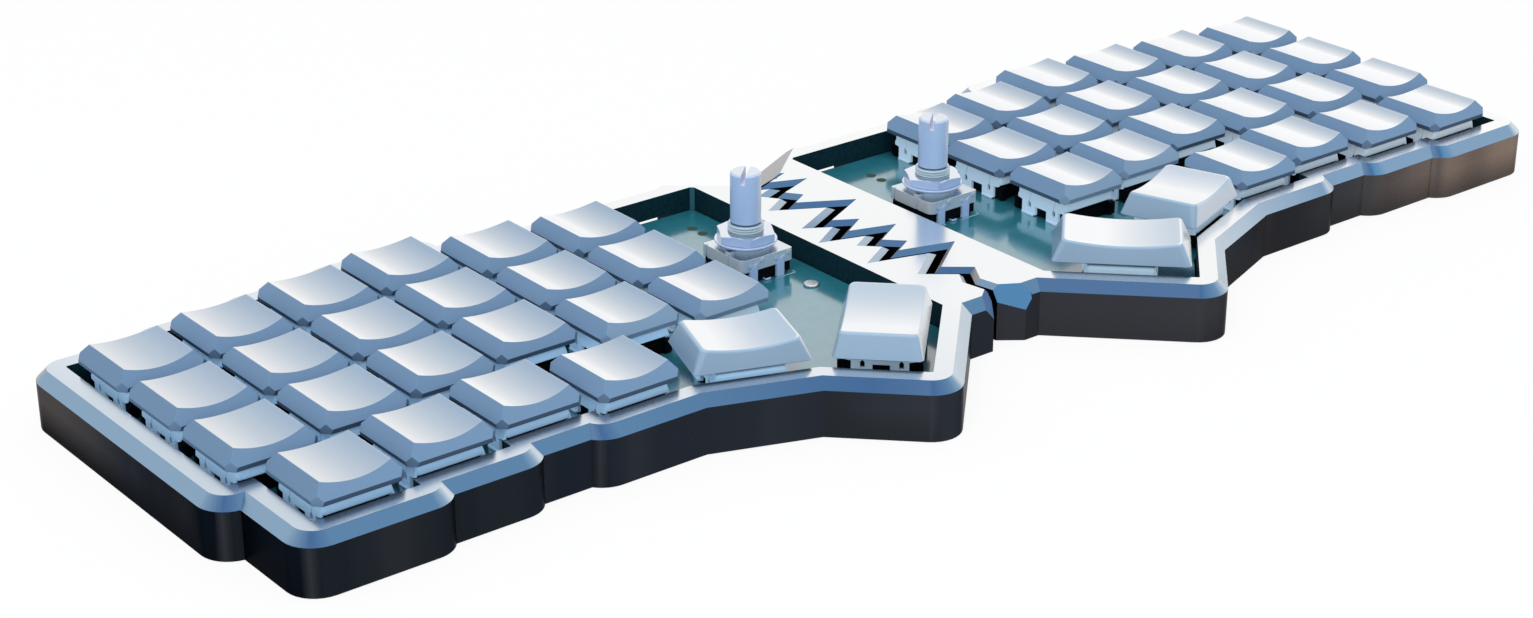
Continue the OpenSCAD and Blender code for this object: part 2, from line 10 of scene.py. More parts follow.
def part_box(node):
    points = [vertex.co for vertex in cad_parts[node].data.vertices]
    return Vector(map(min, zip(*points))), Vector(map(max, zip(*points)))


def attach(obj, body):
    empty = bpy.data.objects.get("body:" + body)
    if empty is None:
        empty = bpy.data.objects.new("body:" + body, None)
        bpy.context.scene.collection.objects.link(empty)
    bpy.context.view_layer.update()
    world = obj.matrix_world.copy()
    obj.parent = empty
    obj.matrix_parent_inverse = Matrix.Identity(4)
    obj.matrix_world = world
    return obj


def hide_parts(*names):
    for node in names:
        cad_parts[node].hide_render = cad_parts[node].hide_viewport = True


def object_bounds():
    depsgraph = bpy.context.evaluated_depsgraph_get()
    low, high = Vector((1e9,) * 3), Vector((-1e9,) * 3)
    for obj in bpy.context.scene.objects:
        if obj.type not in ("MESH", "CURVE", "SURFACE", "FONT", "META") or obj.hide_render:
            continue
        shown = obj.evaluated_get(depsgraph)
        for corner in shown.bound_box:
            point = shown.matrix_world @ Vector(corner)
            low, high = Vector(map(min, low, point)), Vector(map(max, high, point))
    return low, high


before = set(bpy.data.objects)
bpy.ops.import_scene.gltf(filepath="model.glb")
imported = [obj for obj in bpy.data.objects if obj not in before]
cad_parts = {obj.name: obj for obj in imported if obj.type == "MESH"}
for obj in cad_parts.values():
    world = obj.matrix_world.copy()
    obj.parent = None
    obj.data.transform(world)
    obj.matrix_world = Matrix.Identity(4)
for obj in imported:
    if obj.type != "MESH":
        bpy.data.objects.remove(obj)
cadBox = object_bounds()
millimetre = 0.001
sides = ("left", "right")
scene = bpy.context.scene
print("frame loaded,", len(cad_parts), "nodes")


# adds an object that looks along its heading
def addAimed(name, data, place, heading):
    aimed = bpy.data.objects.new(name, data)
    aimed.location = place
    aimed.rotation_mode = "QUATERNION"
    aimed.rotation_quaternion = Vector(heading).to_track_quat("-Z", "Y")
    scene.collection.objects.link(aimed)
    return aimed


# camera at the photo's viewing angle, in metres
cameraSettings = {
    "place": (-0.33527, -0.38321, 0.22158),
    "heading": (0.57036, 0.71416, -0.40580),
    "lens": 66.5,
    "sensor": 36.0,
    "near": 0.02,
}
cameraData = bpy.data.cameras.new("photoCamera")
cameraData.sensor_fit = "HORIZONTAL"
cameraData.sensor_width = cameraSettings["sensor"]
cameraData.lens = cameraSettings["lens"]
cameraData.clip_start = cameraSettings["near"]
scene.camera = addAimed("photoCamera", cameraData, cameraSettings["place"], cameraSettings["heading"])
scene.view_settings.view_transform = "Standard"
print("camera placed")


def linear(hexColour):
    channels = [int(hexColour[i:i + 2], 16) / 255 for i in (1, 3, 5)]
    return (*[c / 12.92 if c <= 0.04045 else ((c + 0.055) / 1.055) ** 2.4 for c in channels], 1.0)


# links sockets, or nodes by their first live output, to a node's inputs
def addLinks(node, links):
    for name, source in links.items():
        if isinstance(source, bpy.types.Node):
            source = next(output for output in source.outputs if output.enabled)
        node.id_data.links.new(source, node.inputs[name])


# adds one node; settings go to sockets or properties, hex values as colours, "stops" to a colour ramp,
# "between" and "gives" to the limits of what a range takes in and gives out
def addNode(tree, kind, settings=None, links=None):
    node = tree.nodes.new("ShaderNode" + kind)
    if kind == "Mix":
        node.data_type = "RGBA"
    for name, value in (settings or {}).items():
        if name == "stops":
            ramp = node.color_ramp
            while len(ramp.elements) < len(value):
                ramp.elements.new(1.0)
            for element, (position, colour) in zip(ramp.elements, value):
                element.position = position
                element.color = linear(colour)
        elif name in ("between", "gives"):
            for end, limit in zip(("Min", "Max"), value):
                node.inputs[("From " if name == "between" else "To ") + end].default_value = limit
        elif isinstance(name, int) or name in node.inputs:
            node.inputs[name].default_value = linear(value) if isinstance(value, str) else value
        else:
            setattr(node, name, value)
    addLinks(node, links or {})
    return node


# a colour ramp whose stops are given in the units of the value that drives it
def addScale(add, source, stops):
    low, high = stops[0][0], stops[-1][0]
    span = add("MapRange", {"between": (low, high)}, {"Value": source})
    return add("ValToRGB", {"stops": [((value - low) / (high - low), colour) for value, colour in stops]},
               {"Fac": span})


def startMaterial(name, sockets):
    material = bpy.data.materials.new(name)
    material.use_nodes = True
    shader = material.node_tree.nodes["Principled BSDF"]
    for socket, value in sockets.items():
        shader.inputs[socket].default_value = value
    return material, partial(addNode, material.node_tree), shader


# a finish: its sockets, a fine texture (a noise's grain and depth in millimetres, and roughness) and the
# links that its own function gives; the base colour is speckled a little by the grain
def makeFinish(name, t, linksOf):
    material, add, shader = startMaterial(name, t["sockets"])
    grain, depth, roughness = t["texture"]
    place = add("TexCoord")
    noise = add("TexNoise", {"Scale": 1 / (grain * millimetre), "Detail": 3.0, "Roughness": 0.6},
                {"Vector": place.outputs["Object"]})
    bump = add("Bump", {"Strength": 1.0, "Distance": depth * millimetre}, {"Height": noise})
    spread = add("MapRange", {"between": (0.3, 0.7), "gives": roughness}, {"Value": noise})
    links = {"Normal": bump, "Roughness": spread, **linksOf(t, add, place, noise)}
    links["Base Color"] = add("Mix", {"blend_type": "MULTIPLY", 0: t["speckle"]},
                              {6: links["Base Color"], 7: noise.outputs["Color"]})
    addLinks(shader, links)
    return material


# the way the surface faces, as three numbers
def addFacing(add):
    surface = add("NewGeometry")
    return add("SeparateXYZ", {}, {"Vector": surface.outputs["Normal"]}).outputs


# the way it faces on the desk, in degrees from the right end
def addHeading(add, facing):
    heading = add("Math", {"operation": "ARCTAN2"}, {0: facing["Y"], 1: facing["X"]})
    return add("Math", {"operation": "DEGREES"}, {0: heading})


# how open the place is, between the given limits, so that gaps between pieces can be told from open faces;
# it places painted shade on the board and painted glow on the housings
def addOpenness(add, reach, limits, gives=(0.0, 1.0)):
    opened = add("AmbientOcclusion", {"samples": 8, "Distance": reach * millimetre})
    return add("MapRange", {"between": limits, "gives": gives}, {"Value": opened.outputs["AO"]})


# moulded PBT keycap: satin steel-blue skirt under a polished dish, which carries a painted reflection that
# runs from white to steel blue across its width; the red of each key's object colour moves the run along, so
# that keys further right get a whiter painted reflection; the skirt is painted darker on faces that turn down
# (painted shade), its green marks front skirts that stand clear of other keys, painted lighter (painted
# light), and its blue the left skirts at the left end, painted darker (painted shade)
capTones = {
    "side": ((-0.8, "#161C26"), (-0.4, "#465A72"), (-0.15, "#4A5F79"), (-0.06, "#5B7591"), (0.12, "#5B7591"),
             (0.3, "#7190B0"), (0.8, "#7190B1")),
    "openSide": "#809DB9", "endSide": "#6784A3", "clearTilt": (-0.3, -0.6),
    "openKeys": ("key_r3c5", "key_r3c6"),
    "endKeys": ("left_key_r1c1", "left_key_r2c1", "left_key_r3c1", "left_key_r4c1"),
    "dish": ((-45, "#95ABC2"), (-25, "#A9B9CA"), (0, "#BEC9D4"), (25, "#D8DDE2"), (45, "#EFEFEF"),
             (56, "#FFFFFF")),
    "dishRadius": 22.3, "slope": (6.2, 18.0), "shift": 5.8, "topTilt": (0.86, 0.93),
    "sockets": {"IOR": 1.5, "Specular IOR Level": 0.2}, "texture": (0.35, 0.003, (0.32, 0.44)),
    "speckle": 0.04,
}


def capLinks(t, add, place, noise):
    facing = addFacing(add)
    key = add("ObjectInfo")
    marks = add("SeparateColor", {}, {"Color": key.outputs["Color"]}).outputs
    moved = add("Math", {"operation": "MULTIPLY", 1: t["shift"]}, {0: marks["Red"]})
    lean = add("Math", {"operation": "MULTIPLY_ADD", 1: t["dishRadius"]}, {0: facing["X"], 2: moved})
    slope = add("MapRange", {"gives": t["slope"]}, {"Value": marks["Red"]})
    run = add("Math", {"operation": "MULTIPLY"}, {0: lean, 1: slope})
    top = add("MapRange", {"between": t["topTilt"]}, {"Value": facing["Z"]})
    # painted shade: the skirt darkens as its faces turn down
    skirt = addScale(add, facing["Z"], t["side"])
    # painted light on front skirts that stand clear, painted shade on left skirts at the left end
    for axis, mark, tone in (("Y", "Green", t["openSide"]), ("X", "Blue", t["endSide"])):
        turned = add("MapRange", {"between": t["clearTilt"]}, {"Value": facing[axis]})
        share = add("Math", {"operation": "MULTIPLY"}, {0: turned, 1: marks[mark]})
        skirt = add("Mix", {7: tone}, {0: share, 6: skirt})
    # painted reflection on the dish, where the faces turn up
    return {"Base Color": add("Mix", {}, {0: top, 6: skirt, 7: addScale(add, run, t["dish"])})}


# moulded ABS thumb cap: glossy, steel-blue sides painted lighter as they turn up (painted light and shade),
# a painted highlight on faces that turn to the right end, and a painted reflection on the top that runs from
# white to pale blue along its length
thumbTones = {
    "side": ((-0.2, "#7F97AF"), (0.3, "#839CB5"), (0.5, "#8FABC4"), (0.8, "#A0BED6")),
    "top": ((-0.2, "#ADC3D7"), (-0.13, "#BACBDA"), (-0.067, "#C8D3DF"), (0.0, "#DAE1E8"), (0.067, "#EDEFF1"),
            (0.13, "#FCFCFC")),
    "middle": 0.35, "shift": 0.3, "topTilt": (0.88, 0.965), "farSide": "#F3F6F9", "farTilt": (0.1, 0.6),
    "sockets": {"IOR": 1.5, "Specular IOR Level": 0.35}, "texture": (0.6, 0.0015, (0.12, 0.2)),
    "speckle": 0.03,
}


def thumbLinks(t, add, place, noise):
    facing = addFacing(add)
    lean = add("SeparateXYZ", {}, {"Vector": place.outputs["Normal"]}).outputs
    key = add("ObjectInfo")
    marks = add("SeparateColor", {}, {"Color": key.outputs["Color"]}).outputs
    # painted reflection along the top, moved by the key's place
    moved = add("Math", {"operation": "SUBTRACT", 1: t["middle"]}, {0: marks["Red"]})
    run = add("Math", {"operation": "MULTIPLY_ADD", 1: t["shift"]}, {0: moved, 2: lean["X"]})
    top = add("MapRange", {"between": t["topTilt"]}, {"Value": facing["Z"]})
    # painted highlight on faces that turn to the right end, over sides painted lighter as they turn up
    far = add("MapRange", {"between": t["farTilt"]}, {"Value": facing["X"]})
    flank = add("Mix", {7: t["farSide"]}, {0: far, 6: addScale(add, facing["Z"], t["side"])})
    return {"Base Color": add("Mix", {}, {0: top, 6: flank, 7: addScale(add, run, t["top"])})}


# rim of the anodised aluminium case: a mirror line round each half, its pale tone a painted reflection,
# painted cooler towards the left end
rimTones = {
    "tone": ((-0.15, "#C9D5E0"), (-0.13, "#D8E0E8"), (-0.06, "#E6EBF0"), (-0.02, "#F4F6F7"),
             (0.1, "#FBFBFB")),
    "skew": 0.4, "sockets": {"Metallic": 1.0}, "texture": (0.4, 0.0006, (0.16, 0.21)), "speckle": 0.02,
}


def rimLinks(t, add, place, noise):
    spot = add("SeparateXYZ", {}, {"Vector": place.outputs["Object"]}).outputs
    along = add("Math", {"operation": "MULTIPLY_ADD", 1: t["skew"]}, {0: spot["Y"], 2: spot["X"]})
    # painted reflection that runs across the keyboard
    return {"Base Color": addScale(add, along, t["tone"])}


# chamfers painted blue and pale as a painted reflection, toned by heading: bright metal to the front and the
# end, duller towards the back
chamferTones = {
    "left": ((-180, "#88A5BF"), (-128, "#486C9A"), (-90, "#5E85AA"), (-70, "#86A3BE"), (-45, "#DCE4E9"),
             (0, "#E4EAEE"), (90, "#CDD4DA"), (112, "#8F8A88"), (150, "#8F8A88"), (172, "#88A5BF")),
    "right": ((-180, "#88A5BF"), (-129, "#4A6E9C"), (-122, "#588BB6"), (-108, "#6B96BC"), (-90, "#82A2C1"),
              (-70, "#C6D5E2"), (-45, "#CCD2D6"), (0, "#D7E0E6"), (90, "#CDD4DA"), (144, "#9DB4CA"),
              (180, "#88A5BF")),
    "span": (0.0, 0.1), "away": (0.62, 0.78, 0.0), "awayTilt": (-0.32, -0.15),
    "sockets": {"Metallic": 1.0}, "texture": (0.4, 0.0006, (0.2, 0.28)), "speckle": 0.02,
}


def chamferLinks(t, add, place, noise):
    heading = addHeading(add, addFacing(add))
    spot = add("SeparateXYZ", {}, {"Vector": place.outputs["Object"]}).outputs
    span = add("MapRange", {"between": t["span"]}, {"Value": spot["X"]})
    # painted reflection by heading, one run for each half
    left, right = (addScale(add, heading, t[side]) for side in sides)
    surface = add("NewGeometry")
    away = add("VectorMath", {"operation": "DOT_PRODUCT", 1: t["away"]}, {0: surface.outputs["Normal"]})
    polish = add("MapRange", {"between": t["awayTilt"], "gives": (1.0, 0.0)}, {"Value": away})
    return {"Base Color": add("Mix", {}, {0: span, 6: left, 7: right}), "Metallic": polish}


# anodised walls, charcoal, with a painted reflection that turns them brown towards the right end, painted
# reflection streaks and painted shade at the foot: part satin metal and part dull coat, so that two walls in
# a corner do not mirror each other black
wallTones = {
    "front": {
        "left": ((-0.15, "#1C2128"), (-0.12, "#1C2228"), (-0.097, "#1D232C"), (-0.06, "#272C34"),
                 (0.0, "#282C33")),
        "right": ((0.0, "#282C34"), (0.03, "#34363B"), (0.055, "#2A2D33"), (0.075, "#202329"),
                  (0.1, "#3E3F42"), (0.125, "#756860"), (0.15, "#88776B")),
    },
    "end": ((-0.05, "#20262E"), (-0.044, "#0D131B"), (-0.006, "#0B1119"), (0.012, "#23272F"),
            (0.035, "#494646"), (0.05, "#504A48")),
    "endTilt": (-0.35, -0.75), "footHeight": (0.001, 0.006),
    "foot": {"left": ("#0C1016", 0.9), "right": ("#2A2A2C", 0.6)},
    "corner": -130.0, "cornerSpread": (0.0, 16.0), "cornerShare": (0.5, 0.0),
    "cornerTone": {"left": "#3F4247", "right": "#3D3E43"},
    "streak": 14.0, "streakStretch": (1.0, 1.0, 0.05), "streakLevel": (0.5, 0.7),
    "streakTone": {"left": ("#4C4C4F", 0.14), "right": ("#453F3D", 0.34)},
    "sockets": {"Metallic": 0.6, "Specular IOR Level": 0.0, "Specular Tint": (0.5, 0.5, 0.5, 1.0)},
    "texture": (0.4, 0.0006, (0.25, 0.29)), "speckle": 0.015,
}


def wallLinks(side, t, add, place, noise):
    facing = addFacing(add)
    spot = add("SeparateXYZ", {}, {"Vector": place.outputs["Object"]}).outputs
    # painted reflection along the front walls, brown towards the right end
    tone = addScale(add, spot["X"], t["front"][side])
    # painted shade, darker towards the foot
    footShade, footShare = t["foot"][side]
    foot = add("MapRange", {"between": t["footHeight"], "gives": (footShare, 0.0)}, {"Value": spot["Z"]})
    # the left end face gets its own painted reflection, dark in the middle and grey-brown towards the back
    if side == "left":
        end = add("MapRange", {"between": t["endTilt"]}, {"Value": facing["X"]})
        tone = add("Mix", {}, {0: end, 6: tone, 7: addScale(add, spot["Y"], t["end"])})
        foot = add("Math", {"operation": "MULTIPLY"}, {0: foot, 1: end})
    # upright painted reflection streaks: the pattern keeps its tone from foot to rim
    upright = add("Mapping", {"Scale": t["streakStretch"]}, {"Vector": place.outputs["Object"]})
    streak = add("TexNoise", {"Scale": 1 / (t["streak"] * millimetre), "Detail": 1.0}, {"Vector": upright})
    streakTone, streakShare = t["streakTone"][side]
    share = add("MapRange", {"between": t["streakLevel"], "gives": (0.0, streakShare)}, {"Value": streak})
    # a painted reflection streak up each rounded corner
    apart = add("Math", {"operation": "SUBTRACT", 1: t["corner"]}, {0: addHeading(add, facing)})
    apart = add("Math", {"operation": "ABSOLUTE"}, {0: apart})
    near = add("MapRange", {"between": t["cornerSpread"], "gives": t["cornerShare"]}, {"Value": apart})
    for amount, added in ((share, streakTone), (foot, footShade), (near, t["cornerTone"][side])):
        tone = add("Mix", {7: added}, {0: amount, 6: tone})
    return {"Base Color": tone}


# matt inside of the well, dark teal as a painted reflection of the board below it, painted lighter on the
# strip across its back corner (painted light)
wellTones = {"wall": ((0.3, "#0B242D"), (0.7, "#12333D")), "strip": "#35606F", "stripTilt": (0.35, 0.48),
             "sockets": {"IOR": 1.5, "Specular IOR Level": 0.05}, "texture": (0.8, 0.003, (0.45, 0.55)),
             "speckle": 0.05}


def wellLinks(t, add, place, noise):
    facing = addFacing(add)
    across = add("Math", {"operation": "MULTIPLY"}, {0: facing["X"], 1: facing["Y"]})
    share = add("MapRange", {"between": t["stripTilt"]}, {"Value": across})
    # painted reflection of the board, with painted light on the strip across the back corner
    return {"Base Color": add("Mix", {7: t["strip"]}, {0: share, 6: addScale(add, noise, t["wall"])})}


# FR4 laminate under glossy green solder mask, which mirrors the room; the woven glass shows as a faint
# mottle, and the mask is painted darker in the gaps between the keys (painted shade), where little light
# reaches
boardTones = {
    "mask": ((0.35, "#2A7D8E"), (0.65, "#308596")), "under": "#9AA3AD", "maskBottom": 4.58, "weave": 3.0,
    "gap": "#0B2E34", "gapReach": 10.0, "gapShare": (0.1, 0.45),
    "sockets": {"IOR": 1.5, "Specular IOR Level": 0.2, "Coat Weight": 1.0, "Coat IOR": 3.0,
                "Coat Roughness": 0.12},
    "texture": (1.2, 0.003, (0.3, 0.4)), "speckle": 0.04,
}


def boardLinks(t, add, place, noise):
    spot = add("SeparateXYZ", {}, {"Vector": place.outputs["Object"]}).outputs
    weave = add("TexNoise", {"Scale": 1 / (t["weave"] * millimetre), "Detail": 2.0},
                {"Vector": place.outputs["Object"]})
    below = add("Math", {"operation": "LESS_THAN", 1: t["maskBottom"] * millimetre}, {0: spot["Z"]})
    # painted shade on the mask in the gaps between the keys
    opened = addOpenness(add, t["gapReach"], t["gapShare"])
    mask = add("Mix", {6: t["gap"]}, {0: opened, 7: addScale(add, weave, t["mask"])})
    return {"Base Color": add("Mix", {7: t["under"]}, {0: below, 6: mask})}


# milky polycarbonate upper housing, satin from the mould; its open edges carry a painted glow, so they stay
# bright, and its tone is painted bluer towards the left end (painted reflection)
milkyTones = {
    "tone": ((-0.12, "#8DB0D0"), (-0.06, "#8FB2D0"), (-0.045, "#93B0C9"), (0.06, "#92AFC8"),
             (0.14, "#A6BCD0")),
    "glow": ((-0.12, "#98C2E8"), (-0.06, "#9CC4E6"), (-0.045, "#A6BDCC"), (0.06, "#A2BACB"),
             (0.14, "#CBD6DE")),
    "glowShare": (0.0, 0.6), "openShare": (0.03, 0.22), "openReach": 12.0,
    "sockets": {"IOR": 1.58, "Specular IOR Level": 0.15}, "texture": (0.5, 0.003, (0.3, 0.4)),
    "speckle": 0.03,
}


def milkyLinks(t, add, place, noise):
    along = add("SeparateXYZ", {}, {"Vector": place.outputs["Object"]}).outputs["X"]
    # painted glow on open edges, none in the gaps
    glow = addOpenness(add, t["openReach"], t["openShare"], t["glowShare"])
    return {"Base Color": addScale(add, along, t["tone"]), "Emission Color": addScale(add, along, t["glow"]),
            "Emission Strength": glow}


# moulded or plated finishes that need one speckled tone
speckleSettings = {"dark": 0.3, "light": 0.7, "speckle": 0.03}


def speckledLinks(t, add, place, noise):
    return {"Base Color": addScale(add, noise, t["tone"])}


def speckledMaterial(name, dark, light, grain, depth, roughness, sockets):
    s = speckleSettings
    return makeFinish(name, {
        "sockets": sockets, "texture": (grain, depth, roughness), "speckle": s["speckle"],
        "tone": ((s["dark"], dark), (s["light"], light)),
    }, speckledLinks)


# plated metal: its tones are painted reflection and light that go from the left end over the front to the
# right end, lightest on faces that turn right; the top is a mirror, painted lighter
platedSettings = {"turns": (-0.9, -0.5, 0.1, 0.8), "topTilt": (0.55, 0.92), "depth": 0.0015, "speckle": 0.03,
                  "sockets": {"Specular IOR Level": 0.3}}


def platedLinks(t, add, place, noise):
    facing = addFacing(add)
    top = add("MapRange", {"between": t["topTilt"]}, {"Value": facing["Z"]})
    # painted reflection and light by the way the faces turn
    tone = add("Mix", {7: t["top"]}, {0: top, 6: addScale(add, facing["X"], t["flank"])})
    return {"Base Color": tone, "Metallic": top}


def platedMaterial(name, leftTone, frontTone, rightTone, topTone, grain, roughness):
    s = platedSettings
    flank = list(zip(s["turns"], (leftTone, frontTone, frontTone, rightTone)))
    texture = (grain, s["depth"], roughness)
    return makeFinish(name, {**s, "texture": texture, "flank": flank, "top": topTone}, platedLinks)


pbtCap = makeFinish("pbtCap", capTones, capLinks)
absThumbCap = makeFinish("absThumbCap", thumbTones, thumbLinks)
brightCutRim = makeFinish("brightCutRim", rimTones, rimLinks)
anodisedChamfer = makeFinish("anodisedChamfer", chamferTones, chamferLinks)
anodisedWall = {side: makeFinish("anodisedWall" + side.title(), wallTones, partial(wallLinks, side))
                for side in sides}
anodisedWell = makeFinish("anodisedWell", wellTones, wellLinks)
# facets across the corners at the front of the seam, as painted light: one with painted shade, one with a
# painted reflection of a clearer blue than the chamfers
facetPaintedLight = {
    "left": speckledMaterial("shadedFacet", "#5875A0", "#5F7DA8", 0.4, 0.0006, (0.3, 0.4),
                             {"Specular IOR Level": 0.2}),
    "right": speckledMaterial("brightFacet", "#5285B2", "#578CB8", 0.4, 0.0006, (0.2, 0.28),
                              {"Metallic": 1.0}),
}
solderMask = makeFinish("solderMaskLaminate", boardTones, boardLinks)
# near black inside the seam, painted shade where no light falls
seamBlack = speckledMaterial("seamBlack", "#020305", "#05070A", 0.4, 0.003, (0.5, 0.6),
                             {"IOR": 1.5, "Specular IOR Level": 0.0})
milkyPolycarbonate = makeFinish("milkyPolycarbonate", milkyTones, milkyLinks)
# the painted glow is not sampled as a light
milkyPolycarbonate.cycles.emission_sampling = "NONE"
# glass-filled black nylon lower housing, dull
blackNylon = speckledMaterial("blackNylon", "#03060A", "#070C12", 0.4, 0.006, (0.5, 0.65),
                              {"IOR": 1.53, "Specular IOR Level": 0.05})
# nylon stem that slides in the housing, pale and smooth
paleNylon = speckledMaterial("paleNylon", "#B6C6D6", "#C6D3E0", 0.5, 0.003, (0.35, 0.45),
                             {"IOR": 1.53, "Specular IOR Level": 0.3})
# tin-plated stamped bracket, greyer than the nut
tinnedSteel = platedMaterial("tinnedSteel", "#BCC5CE", "#A4BACC", "#C8D2DA", "#E4E9EE", 0.3, (0.24, 0.32))
# zinc nut, washer and legs, the brightest of the metals, their blue a painted reflection
passivatedZinc = platedMaterial("passivatedZinc", "#A9C2EA", "#A4C0EA", "#DCE6F6", "#E6EBF4", 0.3,
                                (0.12, 0.2))
# turned shaft, satin from the tool, with a painted highlight on faces that turn right
turnedShaft = platedMaterial("turnedShaft", "#A0BDE4", "#A5C1E6", "#F0F4FB", "#E2E8F2", 0.25, (0.2, 0.3))
# threaded bushing, duller between the crests
threadedBushing = platedMaterial("threadedBushing", "#A9C0CE", "#A4BBCB", "#C6D6E0", "#C8D6E0", 0.2,
                                 (0.3, 0.4))
# sawn slot in the shaft, paler where the cut is bare
sawnSlot = speckledMaterial("sawnSlot", "#D5DBF0", "#E6EAF8", 0.2, 0.004, (0.3, 0.4),
                            {"Specular IOR Level": 0.3})
# nickel-plated screw head, nearly white
nickelScrew = speckledMaterial("nickelScrew", "#DDE0E6", "#ECEEF2", 0.4, 0.003, (0.25, 0.35),
                               {"Metallic": 1.0})
# tinned pad, olive where the mask edge shows through
tinnedPad = speckledMaterial("tinnedPad", "#2C463F", "#46564A", 0.25, 0.01, (0.5, 0.6),
                             {"Specular IOR Level": 0.1})
# screen-printed epoxy ink, chalky
whiteInk = speckledMaterial("whiteInk", "#8FBBC6", "#B5D3DB", 0.2, 0.01, (0.5, 0.6),
                            {"Specular IOR Level": 0.2})
print("materials made")


# shapes are in millimetres; a tube joins its last ring to its first, anything else gets two end faces
def loftShape(rings, tube=False):
    shape = bmesh.new()
    loops = [[shape.verts.new(point) for point in ring] for ring in rings]
    pairs = list(zip(loops, loops[1:])) + ([(loops[-1], loops[0])] if tube else [])
    for low, high in pairs:
        for i, corner in enumerate(low):
            j = (i + 1) % len(low)
            shape.faces.new((corner, low[j], high[j], high[i]))
    if not tube:
        shape.faces.new(loops[0][::-1])
        shape.faces.new(loops[-1])
    bmesh.ops.recalc_face_normals(shape, faces=shape.faces)
    return shape


def prismShape(outline, low, high):
    return loftShape([[(x, y, z) for x, y in outline] for z in (low, high)])


def circle(radius, height, steps):
    return [(radius * math.cos(2 * math.pi * i / steps), radius * math.sin(2 * math.pi * i / steps), height)
            for i in range(steps)]


def latheShape(profile, steps, tube=False):
    return loftShape([circle(radius, height, steps) for radius, height in profile], tube)


def frameRings(outer, inner, low, high):
    def corners(half, height):
        return [(-half[0], -half[1], height), (half[0], -half[1], height), (half[0], half[1], height),
                (-half[0], half[1], height)]
    return [corners(outer, low), corners(outer, high), corners(inner, high), corners(inner, low)]


def softenEdges(shape, width, steps=2, sharperThan=25.0, chosen=lambda edge: True):
    limit = math.radians(sharperThan)
    edges = [e for e in shape.edges if len(e.link_faces) == 2 and e.calc_face_angle() > limit and chosen(e)]
    bmesh.ops.bevel(shape, geom=edges, offset=width, offset_type="OFFSET", segments=steps, profile=0.5,
                    affect="EDGES", clamp_overlap=True)
    return shape


def blockShape(spanX, spanY, spanZ, rounding, steps=2, **easing):
    outline = [(spanX[0], spanY[0]), (spanX[1], spanY[0]), (spanX[1], spanY[1]), (spanX[0], spanY[1])]
    return softenEdges(prismShape(outline, *spanZ), rounding, steps, **easing)


# a span on one side of the middle, lower end first
def spanOn(sign, near, far):
    return sorted((sign * near, sign * far))


def addPart(target, part, finish=0, place=None):
    for face in part.faces:
        face.material_index = finish
    if place is not None:
        part.transform(place)
    held = bpy.data.meshes.new("heldPart")
    part.to_mesh(held)
    part.free()
    target.from_mesh(held)
    bpy.data.meshes.remove(held)


def toMesh(name, shape, materials, sharpAngle=35.0):
    shape.transform(Matrix.Scale(millimetre, 4))
    bmesh.ops.recalc_face_normals(shape, faces=shape.faces)
    mesh = bpy.data.meshes.new(name)
    shape.to_mesh(mesh)
    shape.free()
    for material in materials:
        mesh.materials.append(material)
    mesh.shade_smooth()
    mesh.set_sharp_from_angle(angle=math.radians(sharpAngle))
    return mesh


def addPiece(name, mesh, body, replaced=(), place=None):
    piece = bpy.data.objects.new(name, mesh)
    scene.collection.objects.link(piece)
    if place is not None:
        piece.matrix_world = place
    flatFaces = piece.modifiers.new("flatFaces", "WEIGHTED_NORMAL")
    flatFaces.keep_sharp = True
    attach(piece, body)
    if replaced:
        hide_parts(*replaced)
    return piece


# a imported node's own shape with its flat faces joined and its edges eased, in millimetres
nodeSettings = {"weld": 0.0005, "flatAngle": 0.4}


def easedNode(node, width, steps=2, sharperThan=25.0):
    shape = bmesh.new()
    shape.from_mesh(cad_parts[node].data)
    shape.transform(Matrix.Scale(1 / millimetre, 4))
    bmesh.ops.remove_doubles(shape, verts=shape.verts, dist=nodeSettings["weld"])
    bmesh.ops.dissolve_limit(shape, angle_limit=math.radians(nodeSettings["flatAngle"]), verts=shape.verts,
                             edges=shape.edges)
    return softenEdges(shape, width, steps, sharperThan)


# case: rim, chamfers, outer walls, inside of the well and inside of the seam each take their own finish
caseSettings = {"edge": 0.14, "rimTilt": 0.9, "chamferTilt": 0.12, "rimHeight": 10.5, "chamferHeight": 4.5,
                "probe": 0.6, "wellFloor": 3.0, "seamReach": 8.8, "ribFront": -32.9, "blockBack": 49.0,
                "facetTilt": (0.2, 0.6), "facetBack": -30.5, "endTilt": 0.3, "undersideTilt": -0.5,
                "crease": 14.0}


def caseMesh(side):
    s = caseSettings
    rim, chamfer, wall, well, seam, facet = range(6)
    shape = easedNode(side + "_case", s["edge"])
    shape.normal_update()
    tree = BVHTree.FromBMesh(shape)
    for face in shape.faces:
        middle, normal = face.calc_center_median(), face.normal
        hit = tree.ray_cast(middle + normal * s["probe"], Vector((0, 0, -1)))[0]
        floorBelow = hit is not None and hit.z < s["wellFloor"]
        outEnd = ((middle.y < s["ribFront"] and normal.y < -s["endTilt"])
                  or (middle.y > s["blockBack"] and normal.y > s["endTilt"]))
        nearSeam = abs(middle.x) < s["seamReach"]
        finish = wall
        if normal.z > s["rimTilt"] and middle.z > s["rimHeight"]:
            finish = rim
        elif floorBelow and normal.z > s["undersideTilt"]:
            finish = well
        elif normal.z > s["chamferTilt"] and middle.z > s["chamferHeight"]:
            steep = s["facetTilt"][0] < normal.z < s["facetTilt"][1]
            finish = facet if steep and nearSeam and middle.y < s["facetBack"] else chamfer
        elif nearSeam and normal.z > s["undersideTilt"] and not outEnd:
            finish = seam
        face.material_index = finish
    finishes = [brightCutRim, anodisedChamfer, anodisedWall[side], anodisedWell, seamBlack,
                facetPaintedLight[side]]
    return toMesh(side + "CaseShell", shape, finishes, s["crease"])


